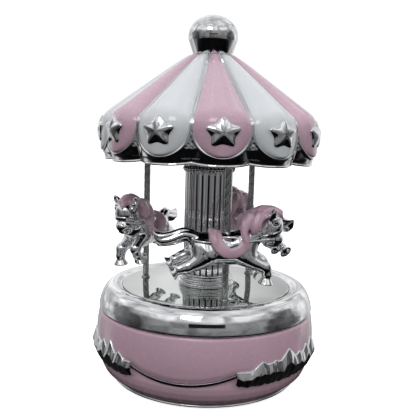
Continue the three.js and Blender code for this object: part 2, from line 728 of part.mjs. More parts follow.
const FORE_LEG_TUCKED = [[8.0, 3.0, -1.6, 3.8], [14.0, 3.7, -3.6, 2.7], [16.0, 3.8, -6.6, 2.0],
  [11.8, 3.8, -10.8, 2.6]];
const MANE = [[21.8, 0, 16.4, 1.5], [18.0, 0, 17.0, 2.6], [13.6, 0, 14.8, 4.2],
  [10.4, 0, 12.4, 4.6], [8.4, 0, 9.4, 3.6]];

/** Ellipsoid of a named body part, grown on all sides. */
const lump = ({ centre, radii }, inflate, around, along) =>
  ellipsoid(centre, radii.map((radius) => radius + inflate), around, along);

/** Horse around its own barrel; inflate grows it on all sides. */
function horseSolid(inflate = 0) {
  const limbs = [TAIL, HIND_LEG_LOW, HIND_LEG_HIGH, FORE_LEG_LOW, FORE_LEG_TUCKED];
  const ear = (side) => [[17.4, side * 3.4, 14.8, 1.5], [18.0, side * 5.6, 18.2, 0.5]];
  return unionOf([
    lump(BARREL, inflate, 8, 7), lump(HEAD, inflate, 8, 6), lump(MUZZLE, inflate, 6, 5),
    limb(NECK, 6, inflate), limb(ear(-1), 4, inflate), limb(ear(1), 4, inflate),
    ...limbs.map((stations) => limb(stations, 4, inflate)),
  ]);
}

const poleBore = () => rod(POLE_R + CLEARANCE, -60, 60, 8);

const horse = () => geometryOf(cutBy(horseSolid(), [poleBore()]));

/** Saddle cloth: a shell over the barrel, cut to a flap with a rounded lower edge. */
function saddle() {
  const cloth = solid(lump(BARREL, SADDLE_PROUD, 8, 7));
  const flap = new THREE.Shape();
  flap.moveTo(-7.6, 10);
  flap.lineTo(-7.2, 3.4);
  flap.quadraticCurveTo(-4.6, -3.0, 1.2, -3.0);
  flap.quadraticCurveTo(6.6, -2.8, 8.4, 3.0);
  flap.lineTo(7.8, 10);
  flap.closePath();
  const depth = 20;
  const region = new THREE.ExtrudeGeometry(flap, { depth, bevelEnabled: false, curveSegments: 3 })
    .rotateX(Math.PI / 2).translate(0, depth / 2, 0);
  const outside = cloth.intersect(solid(region)).subtract(horseSolid(CLEARANCE));
  return geometryOf(cutBy(outside, [poleBore()]));
}

/** Mane: a crest of hair from the forelock over the poll and down the neck. */
function mane() {
  const crest = solid(limb(MANE, 6)).subtract(horseSolid(CLEARANCE));
  return geometryOf(cutBy(crest, [poleBore()]));
}

/* ---------------------------------------------------------------------------- canopy */

/** Outer meridian of a lobe from the crown to the bottom of the skirt. */
const MERIDIAN = new THREE.CurvePath();
MERIDIAN.add(new THREE.LineCurve(
  new THREE.Vector2(CANOPY_APEX_R, CANOPY_TOP - 0.6), new THREE.Vector2(...SHOULDER)));
MERIDIAN.add(new THREE.CubicBezierCurve(
  new THREE.Vector2(...SHOULDER), new THREE.Vector2(SHOULDER[0] + 3.0, SHOULDER[1] - 2.2),
  new THREE.Vector2(WIDEST[0], WIDEST[1] + 5.0), new THREE.Vector2(...WIDEST)));
MERIDIAN.add(new THREE.LineCurve(new THREE.Vector2(...WIDEST), new THREE.Vector2(...SKIRT)));

/** Share of the meridian's length at which a height is reached. */
function meridianShare(z) {
  let [low, high] = [0, 1];
  while (high - low > 1e-5) {
    const middle = (low + high) / 2;
    if (MERIDIAN.getPointAt(middle).y > z) low = middle;
    else high = middle;
  }
  return low;
}

/** Depth of the valley at a rib, for a height: none at the crown, full from the shoulder. */
const valleyAt = (z) => VALLEY_DEPTH * Math.min((CANOPY_TOP - z) / (CANOPY_TOP - SHOULDER[1]), 1);

/** Point of the lobed skin at a gore position (-1 and 1 are the ribs), share and lift. */
function skinPoint(gore, position, share, lift) {
  const at = MERIDIAN.getPointAt(share);
  const along = MERIDIAN.getTangentAt(share);
  const valley = valleyAt(at.y) * Math.abs(position) ** 2.2;
  const out = lift - valley;
  const azimuth = GORE_AZIMUTH + (gore + position / 2) * 360 / GORES;
  return polar(azimuth, at.x - along.y * out, at.y + along.x * out);
}

/** Position within its gore, -1 to 1, of an azimuth in degrees. */
function gorePosition(azimuth) {
  const step = 360 / GORES;
  const inside = (((azimuth - GORE_AZIMUTH + step / 2) % step) + step) % step;
  return 2 * inside / step - 1;
}

/** Star over a gore: sides from below the skin, then facets up to a raised middle. */
function star(gore, grow, low, rim, top) {
  const share = meridianShare(STAR_Z);
  const centre = MERIDIAN.getPointAt(share);
  const along = MERIDIAN.getTangentAt(share);
  const points = [];
  const index = [];
  const place = (across, up, lift) => {
    const r = centre.x - along.x * up - along.y * lift;
    const z = centre.y - along.y * up + along.x * lift;
    return polar(GORE_AZIMUTH + gore * 360 / GORES, r, z)
      .add(polar(GORE_AZIMUTH + gore * 360 / GORES + 90, across, 0)).toArray();
  };
  for (let i = 0; i < 10; i++) {
    const reach = (i % 2 ? STAR_R * STAR_INNER : STAR_R) + grow;
    const turn = TURN * i / 10;
    const [across, up] = [reach * Math.sin(turn), reach * Math.cos(turn)];
    points.push(place(across, up, low), place(across, up, rim));
    const [a, b] = [2 * i, 2 * ((i + 1) % 10)];
    index.push(a, b, b + 1, a, b + 1, a + 1, 20, b, a, 21, a + 1, b + 1);
  }
  points.push(place(0, 0, low), place(0, 0, top));
  return geometryFrom(points, index);
}

/** Lobed body of the canopy with a rolled scalloped rim; lift raises its outside. */
function canopyBody(lift) {
  const shares = [0, 0.5, 0.78, 0.88, 1];
  const profileAt = (azimuth) => {
    const position = gorePosition(azimuth);
    const outer = shares.map((share) => {
      const point = skinPoint(0, position, share, lift);
      return [Math.hypot(point.x, point.y), point.z];
    });
    const valley = VALLEY_DEPTH * Math.abs(position) ** 2.2;
    const scallop = 0.7 * Math.abs(position) ** 2;
    return [
      [3, CANOPY_TOP], [CANOPY_APEX_R - 0.6, CANOPY_TOP], ...outer,
      [RIM[0] + 1.2 - 0.8 * valley, RIM[1] + 0.6 + scallop],
      [RIM[0] - 0.8 * valley, RIM[1] + scallop],
      [WIDEST[0] - CANOPY_WALL - VALLEY_DEPTH, SKIRT[1] + 1.5],
      [WIDEST[0] - CANOPY_WALL - VALLEY_DEPTH, WIDEST[1] + 1],
      [SHOULDER[0] - 3.4, SHOULDER[1] - 3.4], [10.6, CANOPY_TOP - 6], [3, CANOPY_TOP - 6],
    ];
  };
  return ringSolid(profileAt, STEPS_PER_GORE * GORES);
}

/** Plated shell with its cast stars. */
function canopyShell() {
  const stars = Array.from({ length: GORES }, (_, gore) =>
    star(gore, 0, -1.2, 1.5, STAR_PROUD));
  return geometryOf(unionOf([canopyBody(0), ...stars]));
}

/** Layer of enamel all over the canopy, clear of the plated shell. */
const ENAMEL_LAYER = solid(canopyBody(CLEARANCE + PANEL_THICKNESS))
  .subtract(solid(canopyBody(CLEARANCE)));

/** Teardrop panel of enamel over one gore, cut out around the star. */
function enamelPanel(gore) {
  const [first, wide, last] = [0.03, meridianShare(116), meridianShare(SKIRT[1] + 0.3)];
  const surface = (u, v, lift) => {
    const fall = Math.max(2 * v - 1, 0);
    const share = v < 0.5 ? first + (wide - first) * 2 * v
      : wide + (last - wide) * Math.sin(fall * Math.PI / 2);
    const closing = Math.cos(fall * Math.PI / 2);
    const width = (0.72 + 0.2 * Math.min(2 * v, 1) ** 0.5) * (v === 1 ? 0 : closing);
    return skinPoint(gore, u * width, share, lift);
  };
  const sheet = ENAMEL_LAYER.intersect(solid(plateOn(surface, 2, 6, -2.0, 3)));
  return geometryOf(cutBy(sheet, [star(gore, CLEARANCE, -2, 5, 6)]));
}

/** Oblate ball on a short neck, with a stud down into the column. */
function finial() {
  const stud = CANOPY_TOP - 10;
  const seat = CANOPY_TOP + 0.9;
  const profile = [[0, stud], [2.6, stud], [2.6, CANOPY_TOP], [8.1, CANOPY_TOP], [9.7, seat]];
  const steps = 7;
  const start = -rad(FINIAL_TAPER_FROM);
  for (let i = 0; i <= steps; i++) {
    const rise = start + (Math.PI / 2 - start) * i / steps;
    const r = i === steps ? 0 : FINIAL_R * Math.cos(rise);
    profile.push([r, FINIAL_Z + FINIAL_HALF_HEIGHT * Math.sin(rise)]);
  }
  return revolve(profile, 20);
}

/* -------------------------------------------------------------------------- assembly */

const carousel = new THREE.Group();

/** Adds one named piece to a group. */
function piece(name, geometry, look, group = carousel) {
  const mesh = new THREE.Mesh(geometry, MATERIALS[look]);
  mesh.name = name;
  group.add(mesh);
  return mesh;
}

/** Group turned about the vertical axis. */
function turned(azimuth) {
  const group = new THREE.Group();
  group.rotation.z = rad(azimuth);
  carousel.add(group);
  return group;
}

piece('base_shell', baseShell(), 'pink');
piece('foot_rim', footRim(), 'plating');
piece('felt_ring', washer(35.5, FOOT_R - 1.1, 0, FELT_TOP, DRUM_SEGMENTS), 'felt');
GARLAND_AZIMUTHS.forEach((azimuth, i) => piece(`garland_${i + 1}`, garland(azimuth), 'plating'));
piece('bottom_cover', bottomCover(), 'steel');
SCREW_AZIMUTHS.forEach((azimuth, i) => piece(`cover_screw_${i + 1}`, coverScrew(azimuth), 'steel'));
piece('spindle_bush', spindleBush(), 'brass');
piece('winding_arbor', windingArbor(), 'steel');
piece('winding_key', windingKey(), 'brass');

piece('spring_barrel', springBarrel(), 'brass', turned(MOVEMENT_AZIMUTH - 90));
piece('barrel_cover', barrelCover(), 'brass');
piece('mainspring', mainspring(), 'steel');
piece('drive_spindle', driveSpindle(), 'steel');

const movement = turned(MOVEMENT_AZIMUTH - 90);
const { y: governorY, z: governorZ } = governorAxis();
piece('bedplate', bedplate(), 'casting', movement);
piece('tune_cylinder', tuneCylinder(), 'brass', movement);
piece('cylinder_arbor', cylinderArbor(), 'steel', movement);
piece('governor_wheel', governorWheel(), 'brass', movement);
piece('governor_fly', governorFly(), 'steel', movement);
piece('governor_bracket', governorBracket(), 'casting', movement);
piece('comb', comb(), 'steel', movement);
piece('comb_block', combBlock(), 'casting', movement);
COMB_SCREW_X.forEach((x, i) => piece(`comb_screw_${i + 1}`, combScrew(x), 'steel', movement));
piece('cylinder_bearing_1', bearingPlate(14.1, 15.1, -4, 4, CYLINDER_Z + 3,
  [{ y: 0, z: CYLINDER_Z, r: 1.0 }]), 'casting', movement);
piece('cylinder_bearing_2', bearingPlate(32.1, 33.1, governorY - 3, 4, CYLINDER_Z + 3,
  [{ y: 0, z: CYLINDER_Z, r: 1.0 }, { y: governorY, z: governorZ, r: 0.9 }]), 'casting', movement);

piece('turntable', turntable(), 'plating');
piece('mirror_disc', mirrorDisc(), 'mirror');
piece('column_base', columnBase(), 'plating');
piece('column_shaft', columnShaft(), 'plating');
piece('column_capital', columnCapital(), 'plating');

POLE_AZIMUTHS.forEach((azimuth, i) => {
  const station = turned(azimuth);
  const post = new THREE.Group();
  post.position.set(0, -POLE_CIRCLE_R, 0);
  station.add(post);
  piece(`pole_${i + 1}`, rod(POLE_R, MIRROR_BOTTOM, POLE_TOP, 12), 'plating', post);
  const mount = new THREE.Group();
  mount.position.z = HORSE_Z[i];
  mount.rotation.z = rad(HORSE_HEADING);
  post.add(mount);
  piece(`horse_${i + 1}`, horse(), 'plating', mount);
  piece(`saddle_${i + 1}`, saddle(), 'pink', mount);
  piece(`mane_${i + 1}`, mane(), 'pink', mount);
});

piece('canopy_shell', canopyShell(), 'plating');
for (let gore = 0; gore < GORES; gore++) {
  const look = gore % 2 ? 'white' : 'pink';
  piece(`${look}_panel_${Math.floor(gore / 2) + 1}`, enamelPanel(gore), look);
}
piece('finial', finial(), 'plating');

export default carousel;
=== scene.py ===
"""Looks of the carousel music box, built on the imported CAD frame.

Shapes are worked out in millimetres and scaled to metres once, when a mesh is made. Azimuths are
measured from the front (-Y) towards +X, in degrees. Every piece rides on its CAD body.
"""

import json
import math

import bmesh
import bpy
import numpy as np
from mathutils import Matrix, Vector

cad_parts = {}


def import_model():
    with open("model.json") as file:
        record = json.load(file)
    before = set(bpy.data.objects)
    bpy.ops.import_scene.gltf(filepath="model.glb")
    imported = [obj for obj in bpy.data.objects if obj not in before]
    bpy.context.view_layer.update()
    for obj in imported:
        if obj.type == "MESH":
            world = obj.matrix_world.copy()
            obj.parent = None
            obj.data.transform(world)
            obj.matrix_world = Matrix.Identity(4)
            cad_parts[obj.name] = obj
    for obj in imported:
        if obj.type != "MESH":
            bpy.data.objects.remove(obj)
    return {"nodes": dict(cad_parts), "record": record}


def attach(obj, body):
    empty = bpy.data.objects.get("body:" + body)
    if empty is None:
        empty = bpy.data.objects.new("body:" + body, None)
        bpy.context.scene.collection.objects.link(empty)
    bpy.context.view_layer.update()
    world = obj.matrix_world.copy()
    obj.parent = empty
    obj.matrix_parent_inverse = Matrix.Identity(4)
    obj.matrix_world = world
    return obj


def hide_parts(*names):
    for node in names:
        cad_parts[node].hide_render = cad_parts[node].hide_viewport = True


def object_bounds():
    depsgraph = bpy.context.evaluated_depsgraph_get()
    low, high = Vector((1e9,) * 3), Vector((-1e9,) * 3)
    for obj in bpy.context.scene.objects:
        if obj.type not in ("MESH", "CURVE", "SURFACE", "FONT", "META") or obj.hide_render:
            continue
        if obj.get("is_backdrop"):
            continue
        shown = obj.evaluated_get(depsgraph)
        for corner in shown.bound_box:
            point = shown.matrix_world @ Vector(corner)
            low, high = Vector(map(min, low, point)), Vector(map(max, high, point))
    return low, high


MM = 0.001
WELD = 1e-7                 # metres: closer vertices are one vertex

# Drum and foot, in millimetres
DRUM_TOP = 32.6
DRUM_BOTTOM = 2.2
DRUM_R = 51.0
DRUM_R_TOP = 49.7
BELLY_Z = 20.5
DECK_BOTTOM = 31.6
DECK_BORE_R = 8.0
DRAPE_STEP = 2.0
SWAG_HIGH = 17.3
SWAG_LOW = 13.2
GARLAND_AZIMUTHS = (49.5, 169.5, -70.5)
GARLAND_HALF_SPAN = 34
FOOT_R = 41.5
LEDGE_Z = 10.4
LEDGE_R = 36.8
COVER_R = 39.2
COVER_BOTTOM = 9.2
SCREW_CIRCLE_R = 37.8
SCREW_AZIMUTHS = (60, 180, -60)
ARBOR_R = 2.0

# Turntable, column, poles
MIRROR_TOP = 42.9
MIRROR_BOTTOM = 41.1
MIRROR_R = 39.3
PLINTH_TOP = 48.5
SHAFT_TOP = 95.7
COLUMN_R = 11.1
REEDS = 24
REED_DEPTH = 0.75
GROOVE_R = COLUMN_R - 0.42     # inside this radius the grooves get painted shade: the near-black finish
CABLE_TOP = 79.0            # below this height each reed is split in two
POLE_CIRCLE_R = 30.5
POLE_AZIMUTHS = (15.6, 135.6, -104.4)
POLE_R = 1.5
POLE_TOP = 128.4
POLE_LEAD = 12.6
HORSE_Z = (64.5, 66.5, 65.5)
HORSE_HEADING = -9

# Canopy
GORES = 12
GORE_AZIMUTH = 6.0
CANOPY_TOP = 149.4
CANOPY_APEX_R = 8.2
SHOULDER = (44.8, 122.5)
WIDEST = (48.5, 112.6)
SKIRT = (48.4, 103.7)
VALLEY_DEPTH = 2.2
STAR_Z = 114.0
STAR_R = 8.0
STAR_INNER = 0.62
STAR_HEIGHT = 0.88          # of its width: the star is a little squat
FINIAL_Z = 156.8
FINIAL_R = 11.3
FINIAL_HALF_HEIGHT = 9.4
FINIAL_TAPER_FROM = 13.4     # degrees below its middle

# ------------------------------------------------------------------------------- materials


class Nodes:
    """Short-hand for building a material's node tree."""

    def __init__(self, tree):
        self.tree = tree

    def add(self, kind, **values):
        node = self.tree.nodes.new(kind)
        for name, value in values.items():
            if name in node.inputs:
                node.inputs[name].default_value = value
            else:
                setattr(node, name, value)
        return node

    def link(self, source, target):
        self.tree.links.new(source, target)

    def noise(self, coordinates, scale, detail=4.0, distortion=0.0):
        node = self.add("ShaderNodeTexNoise", Scale=scale, Detail=detail, Distortion=distortion)
        self.link(coordinates, node.inputs["Vector"])
        return node.outputs["Fac"]

    def spread(self, value, low, high):
        """Noise mapped to low..high over its middle range."""
        return self.remap(value, (0.3, 0.7), (low, high))

    def remap(self, value, before, after):
        """Value over one range mapped to another, and clamped to it."""
        node = self.add("ShaderNodeMapRange")
        for name, number in zip(("From Min", "From Max", "To Min", "To Max"), (*before, *after)):
            node.inputs[name].default_value = number
        self.link(value, node.inputs["Value"])
        return node.outputs["Result"]

    def math(self, operation, *values):
        node = self.add("ShaderNodeMath", operation=operation)
        for value, target in zip(values, node.inputs):
            self.link(value, target)
        return node.outputs["Value"]

    def blend(self, factor, first, second):
        node = self.add("ShaderNodeMix", data_type="RGBA")
        node.inputs["A"].default_value = (*first, 1)
        node.inputs["B"].default_value = (*second, 1)
        self.link(factor, node.inputs["Factor"])
        return node.outputs["Result"]


def finish_look(name, light, dark, roughness, metallic=0.0, coat=0.0, coat_roughness=0.03,
                patch=90.0, bump=0.0, bump_scale=300.0, bump_detail=3.0, fuzz=0.0):
    """Material whose colour and roughness wander a little over the surface."""
    material = bpy.data.materials.new(name)
    material.use_nodes = True
    nodes = Nodes(material.node_tree)
    shader = material.node_tree.nodes["Principled BSDF"]
    shader.inputs["Metallic"].default_value = metallic
    shader.inputs["Coat Weight"].default_value = coat
    shader.inputs["Coat Roughness"].default_value = coat_roughness
    shader.inputs["Sheen Weight"].default_value = fuzz
    place = nodes.add("ShaderNodeTexCoord").outputs["Object"]
    patches = nodes.spread(nodes.noise(place, patch), 0.0, 1.0)
    nodes.link(nodes.blend(patches, light, dark), shader.inputs["Base Color"])
    wear = nodes.noise(place, patch * 4)
    nodes.link(nodes.spread(wear, *roughness), shader.inputs["Roughness"])
    if bump:
        relief = nodes.add("ShaderNodeBump", Strength=bump, Distance=0.0004)
        nodes.link(nodes.noise(place, bump_scale, bump_detail), relief.inputs["Height"])
        nodes.link(relief.outputs["Normal"], shader.inputs["Normal"])
    return material


LOOKS = {
    "plated_metal": finish_look("polished_plating", (0.90, 0.91, 0.92), (0.84, 0.85, 0.87),
                                (0.03, 0.07), metallic=1.0, bump=0.05, bump_scale=110),
    # Near-black finish that stands for painted shade in the column's grooves and under the canopy
    "painted_shade_black": finish_look("painted_shade_black", (0.05, 0.05, 0.055), (0.03, 0.03, 0.034),
                                (0.45, 0.6), metallic=0.6, bump=0.2, bump_scale=900),
    "rod_plating": finish_look("rod_plating", (0.52, 0.53, 0.52), (0.40, 0.41, 0.40),
                               (0.16, 0.26), metallic=1.0, bump=0.15, bump_scale=500),
    "pink_enamel": finish_look("pink_enamel", (0.615, 0.412, 0.500), (0.598, 0.398, 0.484),
                               (0.22, 0.30), coat=1.0, bump=0.015, bump_scale=60),
    "white_enamel": finish_look("white_enamel", (0.72, 0.75, 0.77), (0.70, 0.73, 0.75),
                                (0.2, 0.28), coat=1.0, bump=0.015, bump_scale=60),
    "mirror": finish_look("mirror_glass", (0.66, 0.69, 0.66), (0.64, 0.67, 0.64),
                          (0.02, 0.04), metallic=1.0),
    "brass": finish_look("turned_brass", (0.72, 0.53, 0.24), (0.60, 0.42, 0.17),
                         (0.22, 0.36), metallic=1.0, bump=0.1, bump_scale=900),
    "movement_steel": finish_look("ground_steel", (0.58, 0.59, 0.60), (0.46, 0.47, 0.49),
                                  (0.24, 0.38), metallic=1.0, bump=0.1, bump_scale=1200),
    "grey_casting": finish_look("grey_die_casting", (0.36, 0.36, 0.37), (0.27, 0.27, 0.28),
                                (0.45, 0.62), metallic=0.7, bump=0.3, bump_scale=1500),
    "cover_sheet": finish_look("painted_sheet", (0.16, 0.16, 0.17), (0.12, 0.12, 0.13),
                               (0.38, 0.5), bump=0.2, bump_scale=2500),
    "felt": finish_look("dark_felt", (0.030, 0.030, 0.036), (0.015, 0.015, 0.019),
                        (0.9, 1.0), bump=0.9, bump_scale=4000, bump_detail=8.0, fuzz=0.4),
}

# ------------------------------------------------------------------------------ mesh making


def polar(azimuth, radius, z):
    """Points at azimuths (degrees), radii and heights."""
    a = np.radians(azimuth)
    return np.stack(np.broadcast_arrays(radius * np.sin(a), -radius * np.cos(a), z), -1)


def lattice(rows, columns, loop_rows=False, loop_columns=True):
    """Quads of a grid of points that are numbered row by row."""
    i = np.arange(rows if loop_rows else rows - 1)[:, None]
    j = np.arange(columns if loop_columns else columns - 1)[None, :]
    after_i, after_j = (i + 1) % rows, (j + 1) % columns
    corners = (i * columns + j, i * columns + after_j,
               after_i * columns + after_j, after_i * columns + j)
    return np.stack(np.broadcast_arrays(*corners), -1).reshape(-1, 4)


def joined(*parts):
    """One set of points and quads from several."""
    points, faces, start = [], [], 0
    for part_points, part_faces in parts:
        part_points = np.asarray(part_points, float).reshape(-1, 3)
        points.append(part_points)
        faces.append(np.asarray(part_faces) + start)
        start += len(part_points)
    return np.concatenate(points), np.concatenate(faces)


def make_mesh(name, shape, look):
    """Smooth closed mesh from millimetre points and quads."""
    points, faces = shape
    mesh = bpy.data.meshes.new(name)
    flat = (np.asarray(points, float).reshape(-1, 3) * MM).tolist()
    mesh.from_pydata(flat, [], np.asarray(faces).tolist())
    work = bmesh.new()
    work.from_mesh(mesh)
    bmesh.ops.remove_doubles(work, verts=work.verts, dist=WELD)
    bmesh.ops.recalc_face_normals(work, faces=work.faces)
    for face in work.faces:
        face.smooth = True
    work.to_mesh(mesh)
    work.free()
    mesh.materials.append(LOOKS[look])
    return mesh


def place(name, mesh, body, slot, nodes, at=None):
    """Puts a piece in the row frame, on its body, in place of its CAD nodes."""
    piece = bpy.data.objects.new(name, mesh)
    bpy.context.scene.collection.objects.link(piece)
    if at is not None:
        piece.matrix_world = at
    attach(piece, body)
    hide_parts(*nodes)
    return piece


def build(name, shape, body, slot, nodes):
    return place(name, make_mesh(name, shape, slot), body, slot, nodes)


def rounded(profile, radius, steps=5, loop=True):
    """Profile with its corners replaced by arcs; the ends of an open one stay."""
    corners = np.asarray(profile, float)
    if loop:
        befores, middles, afters = np.roll(corners, 1, 0), corners, np.roll(corners, -1, 0)
        out = []
    else:
        befores, middles, afters = corners[:-2], corners[1:-1], corners[2:]
        out = [corners[:1]]
    share = np.linspace(0, 1, steps + 1)[:, None]
    for before, corner, after in zip(befores, middles, afters):
        back, ahead = before - corner, after - corner
        lengths = np.linalg.norm(back), np.linalg.norm(ahead)
        reach = min(radius, 0.48 * lengths[0], 0.48 * lengths[1])
        start = corner + back / lengths[0] * reach
        end = corner + ahead / lengths[1] * reach
        out.append((1 - share) ** 2 * start + 2 * share * (1 - share) * corner + share ** 2 * end)
    if not loop:
        out.append(corners[-1:])
    return np.concatenate(out)


def revolve(profile, radius=0.3, segments=192, loop=True, ripple=None):
    """Turned shape from [radius, height] corners; ripple(azimuth, r, z) changes the radius."""
    line = rounded(profile, radius, loop=loop)
    azimuth = np.arange(segments)[:, None] * 360 / segments
    r, z = line[None, :, 0], line[None, :, 1]
    if ripple:
        r = ripple(azimuth, r, z)
    return polar(azimuth, r, z), lattice(segments, len(line), True, loop)


# --------------------------------------------------------------------------- field modelling

FAR = 6.0                   # millimetres: a field this far away is not worked out


def within(p, low, high, measure):
    """Field measured near a box, and taken as far away elsewhere."""
    near = [(q >= a - FAR / 2) & (q <= b + FAR / 2) for q, a, b in zip(p, low, high)]
    if p[0].ndim == 1:
        inside = near[0] & near[1] & near[2]
        field = np.full(p[0].shape, FAR)
        field[inside] = measure([q[inside] for q in p])
        return field
    field = np.full(np.broadcast_shapes(*(q.shape for q in p)), FAR)
    spans = [np.flatnonzero(n) for n in near]
    if all(len(s) for s in spans):
        cut = tuple(slice(s[0], s[-1] + 1) for s in spans)
        field[cut] = measure([p[0][cut[0]], p[1][:, cut[1]], p[2][:, :, cut[2]]])
    return field


def ball(p, centre, radii):
    """Signed distance, nearly, to an ellipsoid."""
    radii = np.broadcast_to(radii, 3)

    def measure(q):
        offsets = [c - m for c, m in zip(q, centre)]
        near = np.sqrt(sum((o / r) ** 2 for o, r in zip(offsets, radii))) + 1e-6
        slope = np.sqrt(sum((o / r ** 2) ** 2 for o, r in zip(offsets, radii))) + 1e-6
        return near * (near - 1) / slope

    centre = np.asarray(centre, float)
    return within(p, centre - radii, centre + radii, measure)


def bone(p, start, end):
    """Signed distance to a rod that tapers between two [x, y, z, radius] stations."""
    a, b = np.asarray(start[:3], float), np.asarray(end[:3], float)
    thick = max(start[3], end[3])

    def measure(q):
        along = b - a
        offsets = [c - m for c, m in zip(q, a)]
        share = sum(o * d for o, d in zip(offsets, along)) / along.dot(along)
        share = np.clip(share, 0, 1)
        gap = np.sqrt(sum((o - share * d) ** 2 for o, d in zip(offsets, along)))
        return gap - (start[3] + share * (end[3] - start[3]))

    return within(p, np.minimum(a, b) - thick, np.maximum(a, b) + thick, measure)


def curve_through(stations, steps=5):
    """Smooth line through stations, by Catmull and Rom's rule."""
    s = np.asarray(stations, float)
    s = np.concatenate([2 * s[:1] - s[1:2], s, 2 * s[-1:] - s[-2:-1]])
    line = []
    for i in range(1, len(s) - 2):
        for t in np.arange(steps) / steps:
            line.append(0.5 * (2 * s[i] + (s[i + 1] - s[i - 1]) * t
                               + (2 * s[i - 1] - 5 * s[i] + 4 * s[i + 1] - s[i + 2]) * t ** 2
                               + (3 * s[i] - s[i - 1] - 3 * s[i + 1] + s[i + 2]) * t ** 3))
    line.append(s[-2])
    line = np.array(line)
    line[:, 3] = np.maximum(line[:, 3], 0.2)
    return line


def limb(p, stations, steps=5):
    """Signed distance to a smooth limb through [x, y, z, radius] stations."""
    line = curve_through(stations, steps)
    field = bone(p, line[0], line[1])
    for start, end in zip(line[1:], line[2:]):
        field = np.minimum(field, bone(p, start, end))
    return field


def join(first, second, soft):
    """Union of two fields with a fillet."""
    near = np.clip(0.5 + 0.5 * (second - first) / soft, 0, 1)
    return second + (first - second) * near - soft * near * (1 - near)


def carve(first, second, soft):
    """First field with the second taken out of it."""
    return -join(-first, second, soft)


def surface_of(field, low, high, step):
    """Points and quads of a field's zero surface, one point for each cell that it crosses."""
    axes = [np.arange(a, b + step, step) for a, b in zip(low, high)]
    grid = [axes[0][:, None, None], axes[1][None, :, None], axes[2][None, None, :]]
    values = field(grid)
    cells = tuple(n - 1 for n in values.shape)
    total = np.zeros((*cells, 3))
    count = np.zeros(cells)
    shifts = [(i, j, k) for i in (0, 1) for j in (0, 1) for k in (0, 1)]

    def corner(shift):
        return values[tuple(slice(s, s + n) for s, n in zip(shift, cells))]

    for shift in shifts:
        for axis in range(3):
            if shift[axis]:
                continue
            other = tuple(1 if n == axis else s for n, s in enumerate(shift))
            a, b = corner(shift), corner(other)
            crossed = (a < 0) != (b < 0)
            share = np.where(crossed, a / np.where(crossed, a - b, 1), 0)
            for n in range(3):
                total[..., n] += np.where(crossed, shift[n] + (share if n == axis else 0), 0)
            count += crossed
    active = count > 0
    number = np.full(cells, -1)
    number[active] = np.arange(active.sum())
    points = np.argwhere(active) + total[active] / count[active][:, None]
    points = np.asarray(low) + points * step
    faces = []
    for axis in range(3):
        u, v = (axis + 1) % 3, (axis + 2) % 3
        head = [slice(1, -1)] * 3
        head[axis] = slice(0, -1)
        tail = list(head)
        tail[axis] = slice(1, None)
        a, b = values[tuple(head)], values[tuple(tail)]
        where = np.argwhere((a < 0) != (b < 0))
        where[:, u] += 1
        where[:, v] += 1
        rising = a[(a < 0) != (b < 0)] < 0
        around = []
        for du, dv in ((-1, -1), (0, -1), (0, 0), (-1, 0)):
            cell = where.copy()
            cell[:, u] += du
            cell[:, v] += dv
            around.append(number[tuple(cell.T)])
        quads = np.stack(around, -1)
        faces.append(np.where(rising[:, None], quads, quads[:, ::-1]))
    faces = np.concatenate(faces)
    faces = faces[(faces >= 0).all(1)]
    return settle(field, points, step), faces


def settle(field, points, step):
    """Moves points onto the field's zero surface along its slope."""
    probe = 0.2 * step
    for _ in range(2):
        columns = list(points.T)
        here = field(columns)
        slope = []
        for axis in range(3):
            moved = list(columns)
            moved[axis] = columns[axis] + probe
            slope.append((field(moved) - here) / probe)
        slope = np.stack(slope, -1)
        scale = (slope ** 2).sum(1) + 1e-3
        move = (-here / scale)[:, None] * slope
        points = points + np.clip(move, -0.5 * step, 0.5 * step)
    return points


# ------------------------------------------------------------------------------------ horse

# Stations about the middle of the barrel, nose towards +X, outer side towards -Y
TAIL = ((-12.5, 0, 4.5, 3.4), (-15.5, 0, 6.0, 3.2), (-18.5, 0, 6.7, 3.1), (-22.8, 0, 5.4, 3.1),
        (-27.0, 0, 4.9, 2.9), (-29.5, 0, 6.2, 1.7), (-30.8, 0, 8.0, 0.4))
NECK = ((6.0, 0, 3.0, 6.0), (10.5, 0, 6.5, 4.9), (15.5, 0, 9.5, 4.2))
LEGS = (
    # stations down to the fetlock, then the middle of the sole
    (((-8.5, -3.0, -1.2, 4.9), (-12.8, -3.8, -4.4, 3.5), (-16.8, -3.9, -6.4, 2.5),
      (-19.9, -3.9, -7.2, 1.8)), (-23.0, -3.9, -9.0)),
    (((-9.5, 3.0, 0.0, 4.7), (-14.5, 3.8, -1.8, 3.4), (-18.5, 3.9, -3.6, 2.4),
      (-21.4, 3.9, -4.8, 1.8)), (-24.6, 3.9, -6.6)),
    (((7.5, -3.0, -2.0, 3.9), (12.0, -3.7, -4.4, 2.9), (16.2, -3.8, -6.2, 2.3),
      (17.2, -3.8, -9.2, 1.7)), (16.7, -3.8, -13.4)),
    (((8.0, 3.0, -1.6, 3.9), (13.4, 3.7, -3.4, 2.8), (16.6, 3.8, -5.6, 2.2),
      (15.0, 3.8, -8.6, 1.7)), (11.8, 3.8, -11.0)),
)
HEAD = (18.6, 0, 11.2)
HEAD_RADII = (5.5, 5.2, 5.5)


def beside(p):
    """Both sides folded onto +Y, for what is the same on each side."""
    return [p[0], np.abs(p[1]), p[2]]


def trunk(p):
    field = join(ball(p, (-2.0, 0, 0.6), (13.5, 6.4, 6.8)),
                 ball(p, (-9.3, 0, 1.4), (6.4, 6.0, 6.6)), 2.5)
    return join(field, ball(p, (7.0, 0, 0.8), (6.2, 5.7, 6.4)), 2.5)


